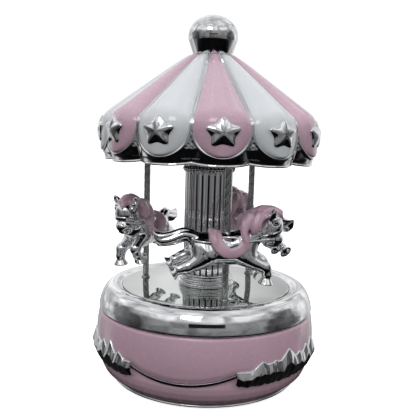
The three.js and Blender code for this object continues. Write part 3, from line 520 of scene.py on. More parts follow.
def hoof(p, ankle, sole):
    """Flared hoof from the fetlock to a dished sole."""
    ankle, sole = np.asarray(ankle, float), np.asarray(sole, float)
    axis = (sole - ankle) / np.linalg.norm(sole - ankle)
    top = ankle + 0.6 * axis
    beyond = sole + 1.5 * axis
    cone = bone(p, (*top, 1.3), (*beyond, 4.3))
    level = sum((q - s) * a for q, s, a in zip(p, sole, axis))
    cup = ball(p, sole + 2.2 * axis, 3.1)
    return carve(-join(-cone, -level, 0.4), cup, 0.3)


def leg(p, stations, sole):
    ankle = stations[-1]
    field = join(limb(p, stations), ball(p, ankle[:3], ankle[3] + 0.55), 0.7)
    knee = stations[-2]
    field = join(field, ball(p, knee[:3], knee[3] + 0.25), 1.2)
    return join(field, hoof(p, ankle[:3], sole), 0.5)


def tail(p):
    """Five strands twisted about the tail's line."""
    line = curve_through(TAIL, 6)
    strands = 5
    field = limb(p, line * (1, 1, 1, 0.62), 1)
    for strand in range(strands):
        turn = 2 * np.pi * strand / strands + np.linspace(0, 1.6, len(line))
        path = line.copy()
        offset = 0.5 * line[:, 3]
        path[:, 1] += offset * np.cos(turn) * 0.9
        path[:, 2] += offset * np.sin(turn)
        path[:, 3] = 0.55 * line[:, 3]
        field = join(field, limb(p, path, 1), 0.25)
    return field


def head(p):
    side = beside(p)
    skull = ball(p, HEAD, HEAD_RADII)
    skull = join(skull, ball(side, (17.2, 2.6, 8.6), (3.6, 2.7, 3.6)), 1.2)
    skull = join(skull, ball(p, (20.2, 0, 5.4), (4.2, 3.9, 2.9)), 1.3)
    jaw = ball(p, (19.2, 0, 3.2), (3.7, 3.2, 1.9))
    skull = join(skull, jaw, 0.35)
    skull = carve(skull, ball(side, (23.9, 1.7, 6.6), (0.7, 0.6, 0.5)), 0.3)
    eye = (20.0, 3.9, 13.2)
    skull = carve(skull, ball(side, eye, 1.9), 0.5)
    skull = join(skull, ball(side, eye, 1.5), 0.1)
    lid = ball(side, (19.7, 3.8, 13.6), 1.95)
    lid = -join(-lid, -(13.9 - side[2] + 0.4 * (side[0] - 19.7)), 0.2)
    skull = join(skull, lid, 0.15)
    ear = limb(side, ((18.4, 3.5, 15.0, 1.8), (19.0, 4.9, 17.0, 1.4), (19.3, 5.8, 18.4, 0.5)), 3)
    ear = carve(ear, ball(side, (20.5, 5.3, 17.0), (1.1, 0.8, 1.5)), 0.2)
    skull = join(skull, ear, 0.4)
    return join(skull, bridle(p, skull), 0.12)


def strap(field, across, half_width, lift):
    """Band lying on a field where |across| is under half_width."""
    return -join(-(field - lift), -(np.abs(across) - half_width), 0.2)


def bridle(p, skull):
    x, y, z = p
    noseband = strap(skull, (z - 7.9) - 0.25 * (x - 19.0), 0.55, 0.38)
    cheekpiece = strap(skull, (x - 17.4) + 0.12 * (z - 10), 0.5, 0.34)
    cheekpiece = np.maximum(cheekpiece, 7.6 - z + 0 * x)
    field = np.minimum(noseband, cheekpiece)
    side = beside(p)
    return np.minimum(field, ball(side, (17.7, 5.3, 8.2), (0.95, 0.6, 0.95)))


def tack(p):
    """Breast collar, crupper, girth rings and reins, the same on both sides."""
    side = beside(p)
    collar = limb(side, ((6.0, 6.0, 3.4, 0.75), (9.6, 5.2, 0.8, 0.8), (12.3, 3.0, -1.0, 0.8),
                         (13.2, 0.0, -1.6, 0.9)), 5)
    crupper = limb(side, ((-6.5, 6.0, 4.4, 0.65), (-10.5, 5.4, 4.6, 0.65),
                          (-13.6, 3.6, 5.0, 0.65), (-15.2, 2.2, 5.6, 0.6)), 4)
    reins = limb(side, ((19.6, 3.9, 5.4, 0.45), (15.6, 5.2, 5.6, 0.45), (11.6, 5.9, 5.4, 0.45),
                        (8.4, 6.4, 5.0, 0.45)), 4)
    studs = ball(p, (13.6, 0, -1.7), (0.9, 1.3, 1.3))
    return np.minimum(np.minimum(collar, crupper), np.minimum(reins, studs))


def horse_field(p):
    side = beside(p)
    field = trunk(p)
    field = join(field, ball(side, (-9.6, 3.0, 0.0), (4.8, 3.7, 5.4)), 1.8)
    field = join(field, ball(side, (8.2, 3.2, -0.6), (3.6, 3.0, 4.8)), 1.8)
    field = join(field, limb(p, NECK), 2.6)
    for stations, sole in LEGS:
        field = join(field, leg(p, stations, sole), 1.3)
    field = join(field, tail(p), 0.8)
    field = join(field, tack(p), 0.2)
    seat = ball(p, (1.4, 0, 6.3), (5.2, 5.6, 2.2))
    field = join(field, seat, 0.8)
    return join(field, head(p), 1.0)


def saddle_field(p):
    """Padded border that runs in a U down each side and over the back, with a raised cantle."""
    x, y, z = p
    outer = np.sqrt(((x - 1.3) / 9.0) ** 2 + ((z - 8.5) / 10.6) ** 2) - 1
    tip = np.abs(x - 1.3) * 0.22 - (z + 2.6)
    inner = np.sqrt(((x - 1.6) / 4.1) ** 2 + ((z - 8.5) / 6.2) ** 2) - 1
    region = np.maximum(np.maximum(outer * 9.0, tip * 0.8), -inner * 4.1)
    shell = np.abs(trunk(p) - 0.5) - 0.85
    border = -join(-shell, -region, 0.9)
    angles = np.radians(np.linspace(-112, 112, 17))
    cantle = [(-5.4 - 1.0 * math.cos(a), 6.3 * math.sin(a), 4.4 + 4.0 * math.cos(a), 1.35)
              for a in angles]
    pommel = [(7.4 + 0.6 * math.cos(a), 6.3 * math.sin(a), 4.0 + 5.0 * math.cos(a), 1.35)
              for a in angles]
    back = ball(p, (-5.6, 0, 5.6), (1.4, 5.8, 3.4))
    field = join(border, limb(p, cantle, 1), 0.8)
    field = join(field, back, 0.6)
    return join(field, limb(p, pommel, 1), 0.8)


def mane_field(p):
    """Crest over the poll with a forelock, and two locks down each side of the neck."""
    side = beside(p)
    crest = limb(p, ((22.2, 0, 16.6, 1.6), (18.2, 0, 17.2, 2.6), (14.0, 0, 15.4, 4.0),
                     (10.8, 0, 12.8, 4.4), (8.8, 0, 9.6, 3.8)))
    cap = ball(p, (16.6, 0, 12.8), (5.6, 5.8, 5.7))
    first = limb(side, ((13.0, 3.8, 14.8, 2.9), (11.4, 4.9, 12.0, 2.6), (10.9, 5.4, 10.0, 1.9),
                        (11.4, 5.6, 8.4, 0.5)))
    second = limb(side, ((9.0, 3.2, 14.4, 2.7), (7.2, 4.7, 12.0, 2.2), (6.5, 5.9, 8.8, 1.6),
                         (7.2, 6.6, 5.4, 1.2), (7.9, 6.7, 3.4, 0.5)))
    field = join(join(crest, cap, 1.2), first, 0.45)
    face = np.sqrt((p[0] - 18.6) ** 2 + (p[2] - 10.4) ** 2) - 5.2 + 0 * p[1]
    field = carve(field, face, 0.5)
    field = join(field, second, 0.3)
    forelock = limb(p, ((19.0, 0.2, 17.0, 2.2), (22.2, 0.6, 15.8, 1.7), (23.9, 0.9, 13.8, 0.5)))
    field = join(field, forelock, 0.8)
    reach = np.sqrt((p[0] - HEAD[0]) ** 2 + (p[2] - HEAD[2]) ** 2) + 0.12 * np.abs(p[1])
    return field + 0.10 * np.cos(2 * np.pi * reach / 1.45)


def horses():
    """Three castings from one set of meshes."""
    step = 0.32
    low, high = (-33, -10, -18), (27, 10, 21)
    parts = (
        ("horse", horse_field, "plated_metal", low, high),
        ("saddle", saddle_field, "pink_enamel", (-10, -9.5, -6), (13, 9.5, 14)),
        ("mane", mane_field, "pink_enamel", (3, -9.5, 3), (27, 9.5, 21)),
    )
    for kind, field, slot, lowest, highest in parts:
        shape = surface_of(field, lowest, highest, step)
        mesh = make_mesh(kind + "_look", shape, slot)
        for number, azimuth in enumerate(POLE_AZIMUTHS, 1):
            at = (Matrix.Rotation(math.radians(azimuth), 4, "Z")
                  @ Matrix.Translation((0, -POLE_CIRCLE_R * MM, HORSE_Z[number - 1] * MM))
                  @ Matrix.Rotation(math.radians(HORSE_HEADING), 4, "Z"))
            place(f"{kind}_{number}_look", mesh, "carousel", slot, [f"{kind}_{number}"], at)


# ------------------------------------------------------------------------------------- drum


def from_garland(azimuth):
    """Signed angle from the nearest garland's middle, for an array of azimuths."""
    apart = np.stack([(azimuth - middle + 180) % 360 - 180 for middle in GARLAND_AZIMUTHS])
    nearest = np.abs(apart).argmin(0)
    return np.take_along_axis(apart, nearest[None], 0)[0]


def drape_edge(azimuth):
    across = np.minimum((60 - np.abs(from_garland(azimuth))) / (60 - GARLAND_HALF_SPAN), 1)
    return SWAG_LOW + (SWAG_HIGH - SWAG_LOW) * across ** 2


def drape_radius(z):
    return DRUM_R - (DRUM_R - DRUM_R_TOP) * ((z - BELLY_Z) / (DRUM_TOP - BELLY_Z)) ** 2


def base_shell():
    """Enamelled drum: the drape rolls in at its edge, above a set-back lower wall."""
    segments = 360
    rows = []
    for azimuth in np.arange(segments) * 360 / segments:
        edge = float(drape_edge(np.array([azimuth]))[0])
        wall = [(drape_radius(z), z) for z in np.linspace(DRUM_TOP - 0.9, edge + 2.6, 12)]
        outer = [(DECK_BORE_R, DRUM_TOP), (DRUM_R_TOP - 0.5, DRUM_TOP), *wall,
                 (drape_radius(edge) - 0.25, edge + 1.3), (drape_radius(edge) - 0.9, edge + 0.3),
                 (drape_radius(edge) - DRAPE_STEP, edge - 0.2), (49.0, edge - 1.5),
                 (49.3, 11.0), (48.8, 8.4), (47.5, 5.6), (45.4, 3.5), (42.7, DRUM_BOTTOM),
                 (COVER_R + 0.4, DRUM_BOTTOM), (COVER_R + 0.4, 3.4), (45.0, LEDGE_Z),
                 (LEDGE_R, LEDGE_Z), (LEDGE_R, 11.9), (46.2, 11.9), (47.4, BELLY_Z),
                 (47.2, DECK_BOTTOM), (DECK_BORE_R, DECK_BOTTOM)]
        rows.append(rounded(outer, 0.6, steps=3))
    rows = np.array(rows)
    azimuth = np.arange(segments)[:, None] * 360 / segments
    points = polar(azimuth, rows[..., 0], rows[..., 1])
    build("base_shell_look", (points, lattice(segments, rows.shape[1], True, True)),
          "base", "pink_enamel", ["base_shell"])


def swag_beads():
    """Thin plated moulding under the edge of the drape between two garlands, facing down."""
    section = np.array([(-0.2, 0.1), (-0.3, -0.2), (-0.65, -1.3), (-2.6, -1.5), (-2.6, 0.0)])
    section = rounded(section, 0.2, 3)
    parts = []
    for middle in GARLAND_AZIMUTHS:
        azimuth = (middle + 60 + np.linspace(-29, 29, 240))[:, None]
        edge = drape_edge(azimuth[:, 0])[:, None]
        points = polar(azimuth, drape_radius(edge) + section[None, :, 0], edge + section[None, :, 1])
        parts.append((points, lattice(240, len(section), False, True)))
    return parts


def garland_relief(u, v):
    """Lift of a garland over the drum, across (-1..1) and up (0..1): a ridge over folded leaves."""
    ridge = 0.56 + 0.05 * np.sin(23 * u) + 0.03 * np.sin(51 * u + 1)
    below = np.clip(v / ridge, 0, 1)
    above = np.clip((v - ridge) / (1 - ridge), 0, 1)
    body = np.where(v < ridge, below ** 0.8, 1 - 0.75 * above ** 1.2)
    folds = 0.12 * np.sin(25 * u + 4 * v) + 0.08 * np.sin(57 * u - 5 * v)
    ends = np.clip(1 - np.abs(u) ** 14, 0, 1) ** 0.5
    return 0.1 + ends * (2.2 * body + folds * np.sin(np.pi * np.clip(v, 0, 1)))


def garland_outline(u):
    """Lower and upper edge of a garland: uneven pointed tips over a wavy lower edge."""
    tips = ((-0.62, 4.4, 0.17), (-0.40, 4.0, 0.14), (-0.14, 7.2, 0.22), (0.12, 4.2, 0.16),
            (0.34, 5.6, 0.15), (0.56, 6.8, 0.14), (0.76, 3.6, 0.14))
    fill = 1.0 + 2.2 * np.clip(1 - (np.abs(u) / 0.8) ** 6, 0, 1)
    top = fill
    for at, height, width in tips:
        top = np.maximum(top, height * np.clip(1 - np.abs(u - at) / width, 0, 1) ** 0.7)
    waves = 0.45 * np.abs(np.sin(17 * u)) + 0.3 * np.abs(np.sin(29 * u + 0.6))
    ends = np.clip(1 - np.abs(u) ** 10, 0, 1) ** 0.5
    return SWAG_HIGH - 3.4 - 1.8 * ends - waves, SWAG_HIGH + 0.4 + top


def garland(middle):
    across, up = 320, 40
    u = np.linspace(-1, 1, across)[:, None]
    v = np.linspace(0, 1, up)[None, :]
    bottom, top = garland_outline(u)
    z = bottom + (top - bottom) * v
    lift = garland_relief(u, v)
    azimuth = middle + GARLAND_HALF_SPAN * u * np.ones_like(v)
    front = polar(azimuth, drape_radius(z) + lift * 0.8, z)
    back = polar(azimuth, drape_radius(z) - 1.8, z)
    loop = np.concatenate([front, back[:, ::-1]], 1)
    caps = []
    for row in (0, across - 1):
        start = row * 2 * up
        caps += [(start + j, start + j + 1, start + 2 * up - 2 - j, start + 2 * up - 1 - j)
                 for j in range(up - 1)]
    faces = np.concatenate([lattice(across, 2 * up, False, True), np.array(caps)])
    return loop, faces


def garlands():
    beads = swag_beads()
    for number, middle in enumerate(GARLAND_AZIMUTHS, 1):
        build(f"garland_{number}_look", joined(garland(middle), beads[number - 1]),
              "base", "plated_metal", [f"garland_{number}"])


def foot():
    build("foot_rim_look", revolve([
        (35.5, 0.8), (FOOT_R - 0.9, 0.8), (FOOT_R - 0.8, 0.3), (FOOT_R + 0.9, 0.3),
        (FOOT_R + 2.0, 0.8), (FOOT_R + 1.9, 1.4), (FOOT_R + 0.9, 2.4), (35.5, 1.9),
    ], 0.35, 256), "base", "plated_metal", ["foot_rim"])
    build("felt_ring_look", revolve([
        (35.5, 0.0), (40.4, 0.0), (40.4, 0.8), (35.5, 0.8),
    ], 0.2, 256), "base", "felt", ["felt_ring"])


def underside():
    """Cover with pressed ribs, pan-head screws, and the butterfly key."""
    build("bottom_cover_look", revolve([
        (ARBOR_R + 0.3, COVER_BOTTOM), (7, COVER_BOTTOM), (8, COVER_BOTTOM + 0.4),
        (24, COVER_BOTTOM + 0.4), (25, COVER_BOTTOM), (COVER_R, COVER_BOTTOM),
        (COVER_R, LEDGE_Z), (ARBOR_R + 0.3, LEDGE_Z),
    ], 0.3, 192), "base", "cover_sheet", ["bottom_cover"])
    for number, azimuth in enumerate(SCREW_AZIMUTHS, 1):
        x, y, _ = polar(azimuth, SCREW_CIRCLE_R, 0.0)
        points, faces = screw_shape()
        build(f"cover_screw_{number}_look", (points + (x, y, 0), faces), "base",
              "movement_steel", [f"cover_screw_{number}"])
    key = surface_of(key_field, (-14.5, -5, 0.5), (14.5, 5, 9.5), 0.3)
    build("winding_key_look", key, "winding_key", "brass", ["winding_key"])
    build("winding_arbor_look", revolve([
        (0, 2.0), (ARBOR_R, 2.0), (ARBOR_R, 17.4), (0, 17.4)], 0.3, 48, loop=False),
        "winding_key", "movement_steel", ["winding_arbor"])


def screw_shape():
    """Pan-head screw with a cross recess, head down."""
    rings = 14
    angles = np.arange(64) * 2 * np.pi / 64
    profile = rounded([(0, 8.0), (1.6, 8.0), (2.2, 8.5), (2.2, 9.2), (1.1, 9.2), (1.1, 11.5),
                       (0, 11.5)], 0.25, loop=False)
    inner = np.array([(r, 8.0) for r in np.linspace(0.05, 1.3, rings)])
    profile = np.concatenate([profile[:1], inner, profile[1:]])
    r, z = profile[None, :, 0], profile[None, :, 1]
    x, y = r * np.cos(angles)[:, None], r * np.sin(angles)[:, None]
    arms = np.minimum(np.abs(x), np.abs(y)) < 0.3
    recess = arms & (r < 1.25) & (z < 8.05)
    z = np.where(recess, 8.6, z * np.ones_like(x))
    return np.stack([x, y, z], -1), lattice(64, profile.shape[0], True, False)


def key_field(p):
    x, y, z = p
    side = [np.abs(x), y, z]
    field = bone(p, (0, 0, 3.2, 3.4), (0, 0, 6.4, 3.4))
    field = -join(-field, -(np.abs(z - 4.8) - 3.6), 0.6)
    wing = ball(side, (8.4, 0, 4.9), (4.6, 1.25, 3.4))
    web = ball(side, (4.0, 0, 4.9), (5.5, 1.1, 2.4))
    field = join(field, join(wing, web, 1.2), 1.0)
    field = join(field, ball(side, (8.4, 0, 4.9), (3.9, 1.75, 2.4)), 0.5)
    bore = np.maximum(np.sqrt(x ** 2 + y ** 2) - 2.25, 1.7 - z)
    return carve(field, bore, 0.2)


# ------------------------------------------------------------------------- turntable, column


def turntable():
    build("turntable_look", revolve([
        (2.8, 36.4), (6.5, 36.4), (6.5, 39.3), (41.5, 39.3), (46.6, 34.2), (47.6, 33.1),
        (49.85, 33.1), (49.95, 34.0), (49.6, 36.2), (48.8, 38.7), (47.6, 41.0), (46.1, 42.8),
        (44.6, 43.7), (43.2, 43.9), (42.0, 43.7), (40.9, 43.0), (40.2, 42.6), (39.6, 42.5),
        (39.6, 41.1), (2.8, 41.1),
    ], 0.8, 360), "carousel", "plated_metal", ["turntable"])
    build("mirror_disc_look", revolve([
        (2.8, MIRROR_BOTTOM), (MIRROR_R, MIRROR_BOTTOM), (MIRROR_R, MIRROR_TOP - 0.25),
        (MIRROR_R - 0.3, MIRROR_TOP), (2.8, MIRROR_TOP),
    ], 0.05, 256), "carousel", "mirror", ["mirror_disc"])


def beads(count, depth, low, high):
    """Ripple that cuts a ring between two heights into beads."""
    def ripple(azimuth, r, z):
        window = np.clip((z - low) / 0.3, 0, 1) * np.clip((high - z) / 0.3, 0, 1)
        wave = np.abs(np.sin(np.radians(azimuth) * count / 2)) ** 0.6
        return r - depth * (1 - wave) * window
    return ripple


def column():
    lower = beads(48, 0.22, 43.1, 44.6)
    upper = beads(60, 0.18, 44.9, 46.5)
    build("column_base_look", revolve([
        (0, MIRROR_TOP), (12.7, MIRROR_TOP), (13.1, 43.3), (13.1, 44.2), (12.6, 44.7),
        (12.1, 44.8), (12.6, 45.2), (12.6, 46.1), (12.1, 46.6), (11.7, 46.7),
        (12.0, 47.0), (12.0, 47.6), (11.6, 47.9), (11.4, 48.0), (11.4, PLINTH_TOP),
        (0, PLINTH_TOP),
    ], 0.3, 560, loop=False, ripple=lambda a, r, z: upper(a, lower(a, r, z), z)),
        "carousel", "plated_metal", ["column_base"])

    per_reed = 24                # points round one reed
    segments = REEDS * per_reed
    azimuth = np.arange(segments)[:, None] * 360 / segments
    across = np.abs((np.arange(segments) % per_reed) / per_reed * 2 - 1)[:, None]
    heights = np.concatenate([[PLINTH_TOP, PLINTH_TOP + 0.1], np.linspace(49.4, 76, 12),
                              np.linspace(76.4, 80.6, 22), np.linspace(81.4, 93.6, 8),
                              np.linspace(94, SHAFT_TOP, 8)])[None, :]
    groove = np.clip((across - 0.68) / 0.32, 0, 1) ** 0.7
    split = np.clip((0.2 - across) / 0.2, 0, 1) ** 0.7
    doubled = np.sqrt(np.clip((CABLE_TOP - heights) / 1.2, 0, 1))
    open_end = np.sqrt(np.clip((SHAFT_TOP - 0.6 - heights) / 1.2, 0, 1))
    depth = REED_DEPTH * groove * open_end + 0.25 * across ** 2 + 0.4 * split * doubled
    radius = COLUMN_R - depth
    ring = polar(azimuth, radius, heights)
    lid = polar(azimuth, 0.0, SHAFT_TOP + 0 * heights[:, :1])
    floor = polar(azimuth, 0.0, PLINTH_TOP + 0 * heights[:, :1])
    points = np.concatenate([floor, ring, lid], 1)
    shaft = build("column_shaft_look", (points, lattice(segments, points.shape[1], True, False)),
                  "carousel", "plated_metal", ["column_shaft"])
    # The groove faces get the near-black finish: painted shade down in the grooves.
    shaft.data.materials.append(LOOKS["painted_shade_black"])
    for face in shaft.data.polygons:
        x, y, z = face.center
        if math.hypot(x, y) < GROOVE_R * MM and z < (SHAFT_TOP - 1) * MM:
            face.material_index = 1

    rope = beads(44, 0.45, 96.2, 98.2)
    build("column_capital_look", revolve([
        (0, SHAFT_TOP), (11.2, SHAFT_TOP), (11.9, 96.2), (12.3, 97.2), (11.9, 98.2), (11.3, 98.6),
        (11.6, 99.2), (11.3, 99.9), (10.2, 100.7), (9.4, 101.6), (9.4, 143.3), (0, 143.3),
    ], 0.35, 352, loop=False, ripple=rope), "carousel", "plated_metal", ["column_capital"])


def pole_shape():
    """Rod with three fine grooves wound around it, and a collar at each end."""
    heights = np.arange(MIRROR_BOTTOM, POLE_TOP, 0.25)
    turn = np.arange(48) * 2 * np.pi / 48
    apart = turn[None, :] - heights[:, None] * 2 * np.pi / POLE_LEAD
    apart = (apart + np.pi / 3) % (2 * np.pi / 3) - np.pi / 3
    radius = POLE_R - 0.16 * np.exp(-(apart / 0.2) ** 2)
    x, y = radius * np.cos(turn), radius * np.sin(turn)
    shaft = np.stack([x, y, heights[:, None] + 0 * x], -1), lattice(len(heights), 48, False, True)
    collar = revolve([(1.0, MIRROR_TOP), (2.0, MIRROR_TOP), (2.1, 43.2), (1.9, 43.6), (1.6, 43.8),
                      (1.0, 43.9)], 0.15, 48)
    hat = revolve([(1.0, 126.9), (1.9, 126.9), (2.1, 127.4), (2.1, 128.2), (1.0, 128.2)], 0.2, 48)
    return joined(shaft, collar, hat)


def poles():
    mesh = make_mesh("pole_look", pole_shape(), "rod_plating")
    for number, azimuth in enumerate(POLE_AZIMUTHS, 1):
        at = (Matrix.Rotation(math.radians(azimuth), 4, "Z")
              @ Matrix.Translation((0, -POLE_CIRCLE_R * MM, 0)))
        place(f"pole_{number}_look", mesh, "carousel", "plated_metal", [f"pole_{number}"], at)


# ----------------------------------------------------------------------------------- canopy


def meridian():
    """Finely spaced points down a lobe's middle and the outward normals there."""
    t = np.linspace(0, 1, 200)[:, None]
    crown = np.array([(CANOPY_APEX_R, CANOPY_TOP - 0.6), SHOULDER])
    bend = np.array([SHOULDER, (SHOULDER[0] + 3.0, SHOULDER[1] - 2.2),
                     (WIDEST[0], WIDEST[1] + 5.0), WIDEST])
    skirt = np.array([WIDEST, SKIRT])
    curve = ((1 - t) ** 3 * bend[0] + 3 * t * (1 - t) ** 2 * bend[1]
             + 3 * t ** 2 * (1 - t) * bend[2] + t ** 3 * bend[3])
    line = np.concatenate([crown[0] + t * (crown[1] - crown[0]), curve[1:],
                           (skirt[0] + t * (skirt[1] - skirt[0]))[1:]])
    length = np.concatenate([[0], np.cumsum(np.linalg.norm(np.diff(line, axis=0), axis=1))])
    return line, length / length[-1]


LINE, SHARE = meridian()


def along_meridian(share):
    """Radius, height and outward normal at shares of the meridian."""
    r, z = np.interp(share, SHARE, LINE[:, 0]), np.interp(share, SHARE, LINE[:, 1])
    step = 0.012
    dr = np.interp(share + step, SHARE, LINE[:, 0]) - np.interp(share - step, SHARE, LINE[:, 0])
    dz = np.interp(share + step, SHARE, LINE[:, 1]) - np.interp(share - step, SHARE, LINE[:, 1])
    length = np.hypot(dr, dz)
    return r, z, -dz / length, dr / length


def share_at(z):
    return float(np.interp(-z, -LINE[:, 1], SHARE))


TURN_IN = 0.3               # how steeply the skirt draws in below the panels
PANEL_SHARE = 0.955          # of the gore's width, where the panel is widest
PANEL_FIRST = 0.005
INSIDE_R = 43.9             # the canopy's hollow lies inside this radius
RELIEF_TOP = 107.6           # below this height the skirt turns in
PANEL_NECK = 0.76            # of the gore's width, at a panel's tip
PANEL_WIDE = share_at(116)
PANEL_LAST = share_at(104.6)
LENGTH = float(np.linalg.norm(np.diff(LINE, axis=0), axis=1).sum())


def panel_width(v):
    """Share of the gore that a panel takes, from its tip (0) to its widest line (1)."""
    return PANEL_NECK + (PANEL_SHARE - PANEL_NECK) * np.clip(v, 0, 1) ** 0.7


def skin(gore, position, share, lift):
    """Points of the lobed skin at positions across a gore, meridian shares and lifts."""
    r, z, out_r, out_z = along_meridian(share)
    fall = np.minimum((CANOPY_TOP - z) / (CANOPY_TOP - SHOULDER[1]), 1)
    out = lift - VALLEY_DEPTH * fall * np.abs(position) ** 2.2
    azimuth = GORE_AZIMUTH + (gore + position / 2) * 360 / GORES
    return polar(azimuth, r + out_r * out, z + out_z * out)


def panel_gap(gore_share, share):
    """Millimetres outside the edge of a panel, at shares of a half gore and of the meridian."""
    half_gore = np.interp(share, SHARE, LINE[:, 0]) * math.pi / GORES
    across = gore_share * half_gore
    down = (share - PANEL_WIDE) * LENGTH
    radii = PANEL_SHARE * half_gore, (PANEL_LAST - PANEL_WIDE) * LENGTH
    near = np.sqrt((across / radii[0]) ** 2 + (down / radii[1]) ** 2) + 1e-6
    slope = np.sqrt((across / radii[0] ** 2) ** 2 + (down / radii[1] ** 2) ** 2) + 1e-6
    return np.where(down > 0, near * (near - 1) / slope,
                    across - panel_width(share / PANEL_WIDE) * half_gore)


def canopy_shell():
    """Lobed plated casting: a bead around each panel, a hooked rim and a hollow underside."""
    per_gore = 56
    position = np.arange(per_gore) / per_gore * 2 - 1
    down = np.concatenate([np.linspace(0, share_at(124), 30), np.linspace(share_at(124), 1, 90)[1:]])
    z_line = np.interp(down, SHARE, LINE[:, 1])[None, :]
    gap = panel_gap(np.abs(position)[:, None], down[None, :])
    crown = np.clip((CANOPY_TOP - z_line) / 7, 0, 1)
    bead = 0.55 * np.exp(-((gap - 0.5) / 0.4) ** 2) * (0.35 + 0.65 * crown)
    turn_in = np.clip(np.minimum(gap - 1.0, RELIEF_TOP - z_line), 0, 9)
    relief = np.clip((gap - 1.2) / 0.6, 0, 1) * np.clip((z_line - RELIEF_TOP) / 0.8, 0, 1)
    relief = relief * 0.2 * np.sin(34 * position[:, None]) * np.sin(3.1 * z_line)
    lift = bead + relief - TURN_IN * turn_in
    gores = [skin(gore, position[:, None], down[None, :], lift) for gore in range(GORES)]
    outer = np.concatenate(gores)
    azimuth = np.concatenate([GORE_AZIMUTH + (gore + position / 2) * 360 / GORES
                              for gore in range(GORES)])[:, None]
    rib = np.tile(np.abs(position), GORES)[:, None]
    edge_r, edge_z = SKIRT[0] - VALLEY_DEPTH * rib ** 2.2, SKIRT[1] + 0 * rib
    edge_r = edge_r - TURN_IN * np.tile(turn_in[:, -1], GORES)[:, None]
    scallop = 0.9 * rib ** 2.5
    steps = ((-0.12, 103.3), (-0.35, 102.5), (-0.6, 101.7), (-0.65, 101.4), (-0.35, 101.2),
             (-0.3, 100.9), (-0.7, 100.6), (-1.4, 100.8), (-1.9, 101.4))
    rim = np.stack([np.concatenate([edge_r + dr, z + scallop], 1) for dr, z in steps], 1)
    rim_points = polar(azimuth, rim[..., 0], rim[..., 1])
    inside = rounded([(43.6, 102.6), (43.2, 104.4), (43.2, 113.6), (43.2, 116.6), (41.2, 119.2),
                      (10.6, 143.5), (3, 143.5), (3, CANOPY_TOP - 0.6), (8.2, CANOPY_TOP - 0.6)],
                     1.5, 5, loop=False)
    inside_points = polar(azimuth, inside[None, :, 0], inside[None, :, 1])
    points = np.concatenate([outer, rim_points, inside_points], 1)
    shell = points, lattice(points.shape[0], points.shape[1], True, True)
    stars = [star(gore) for gore in range(GORES)]
    casting = build("canopy_shell_look", joined(shell, *stars), "carousel", "plated_metal",
                    ["canopy_shell"])
    # Faces of the hollow underside get the near-black finish: painted shade under the canopy.
    casting.data.materials.append(LOOKS["painted_shade_black"])
    for face in casting.data.polygons:
        x, y, z = face.center / MM
        reach = math.hypot(x, y)
        hollow = reach < INSIDE_R and z < CANOPY_TOP - 6 and face.normal.z < 0.2
        face.material_index = int(hollow and face.normal.dot((x, y, 0)) <= 0.5 * reach)


def star(gore):
    """Puffed five-pointed star with soft ridges, standing on a gore."""
    samples = 160
    angle = np.arange(samples) * 2 * np.pi / samples
    fold = np.abs((angle * 5 / (2 * np.pi)) % 1 - 0.5) * 2
    inner = STAR_R * STAR_INNER
    turn = (1 - fold) * np.pi / 5
    reach = (STAR_R * inner * math.sin(math.pi / 5)
             / (inner * np.sin(np.pi / 5 - turn) + STAR_R * np.sin(turn)))
    spread = np.hanning(19)[1:-1]
    spread /= spread.sum()
    inverse = np.convolve(np.concatenate([1 / reach[-8:], 1 / reach, 1 / reach[:8]]), spread, "valid")
    reach = 1 / inverse
    rings = np.array([0.02, 0.12, 0.25, 0.4, 0.55, 0.7, 0.82, 0.9, 0.95, 0.985, 1.0, 1.01, 1.0])
    rim, top, low = 1.4, 2.9, -1.6
    lift = rim + (top - rim) * (1 - rings ** 1.6)
    lift[7:] = (rim + 0.12, rim + 0.02, rim - 0.22, rim - 0.5, rim - 1.0, low)
    share = share_at(STAR_Z)
    r, z, out_r, out_z = along_meridian(share)
    across = reach[:, None] * rings[None, :] * np.sin(angle)[:, None]
    up = STAR_HEIGHT * reach[:, None] * rings[None, :] * np.cos(angle)[:, None]
    radius = r - up * out_z + out_r * lift[None, :]
    height = z + up * out_r + out_z * lift[None, :]
    middle = math.radians(GORE_AZIMUTH + gore * 360 / GORES)
    x = radius * math.sin(middle) + across * math.cos(middle)
    y = -radius * math.cos(middle) + across * math.sin(middle)
    points = np.stack(np.broadcast_arrays(x, y, height), -1)
    points[:, 0] = points[:, 0].mean(0)
    points[:, -1] = points[:, -1].mean(0)
    return points, lattice(samples, len(rings), True, False)


def enamel_panel(gore):
    """Puffed teardrop of enamel; its edge sinks into the plated shell."""
    v = np.concatenate([np.linspace(0, 0.5, 30), np.linspace(0.5, 1, 40)[1:]])[:, None]
    spread = np.sin(np.linspace(-np.pi / 2, np.pi / 2, 49))[None, :]
    fall = np.maximum(2 * v - 1, 0)
    share = np.where(v < 0.5, PANEL_FIRST + (PANEL_WIDE - PANEL_FIRST) * 2 * v,
                     PANEL_WIDE + (PANEL_LAST - PANEL_WIDE) * np.sin(fall * np.pi / 2))
    width = panel_width(share / PANEL_WIDE) * np.cos(fall * np.pi / 2)
    start = np.clip(v / 0.02, 0, 1) ** 0.5
    close = np.sqrt(np.clip(1 - spread ** 6, 0, 1)) * start
    close = close * np.sqrt(np.clip(1 - fall ** 10, 0, 1))
    half_gore = width * np.interp(share, SHARE, LINE[:, 0])
    puff = 0.85 * (1 - spread ** 2) * np.clip(half_gore / 14, 0, 1)
    top = skin(gore, spread * width * (1 + 0 * v), share + 0 * spread,
               -0.15 + close * (0.75 + puff))
    bottom = skin(gore, spread * width * (1 + 0 * v), share + 0 * spread, -0.5)
    loop = np.concatenate([top, bottom[:, ::-1]], 1)
    columns = loop.shape[1]
    half = columns // 2
    caps = [(j, j + 1, columns - 2 - j, columns - 1 - j) for j in range(half - 1)]
    return loop, np.concatenate([lattice(len(v), columns, False, True), np.array(caps)])


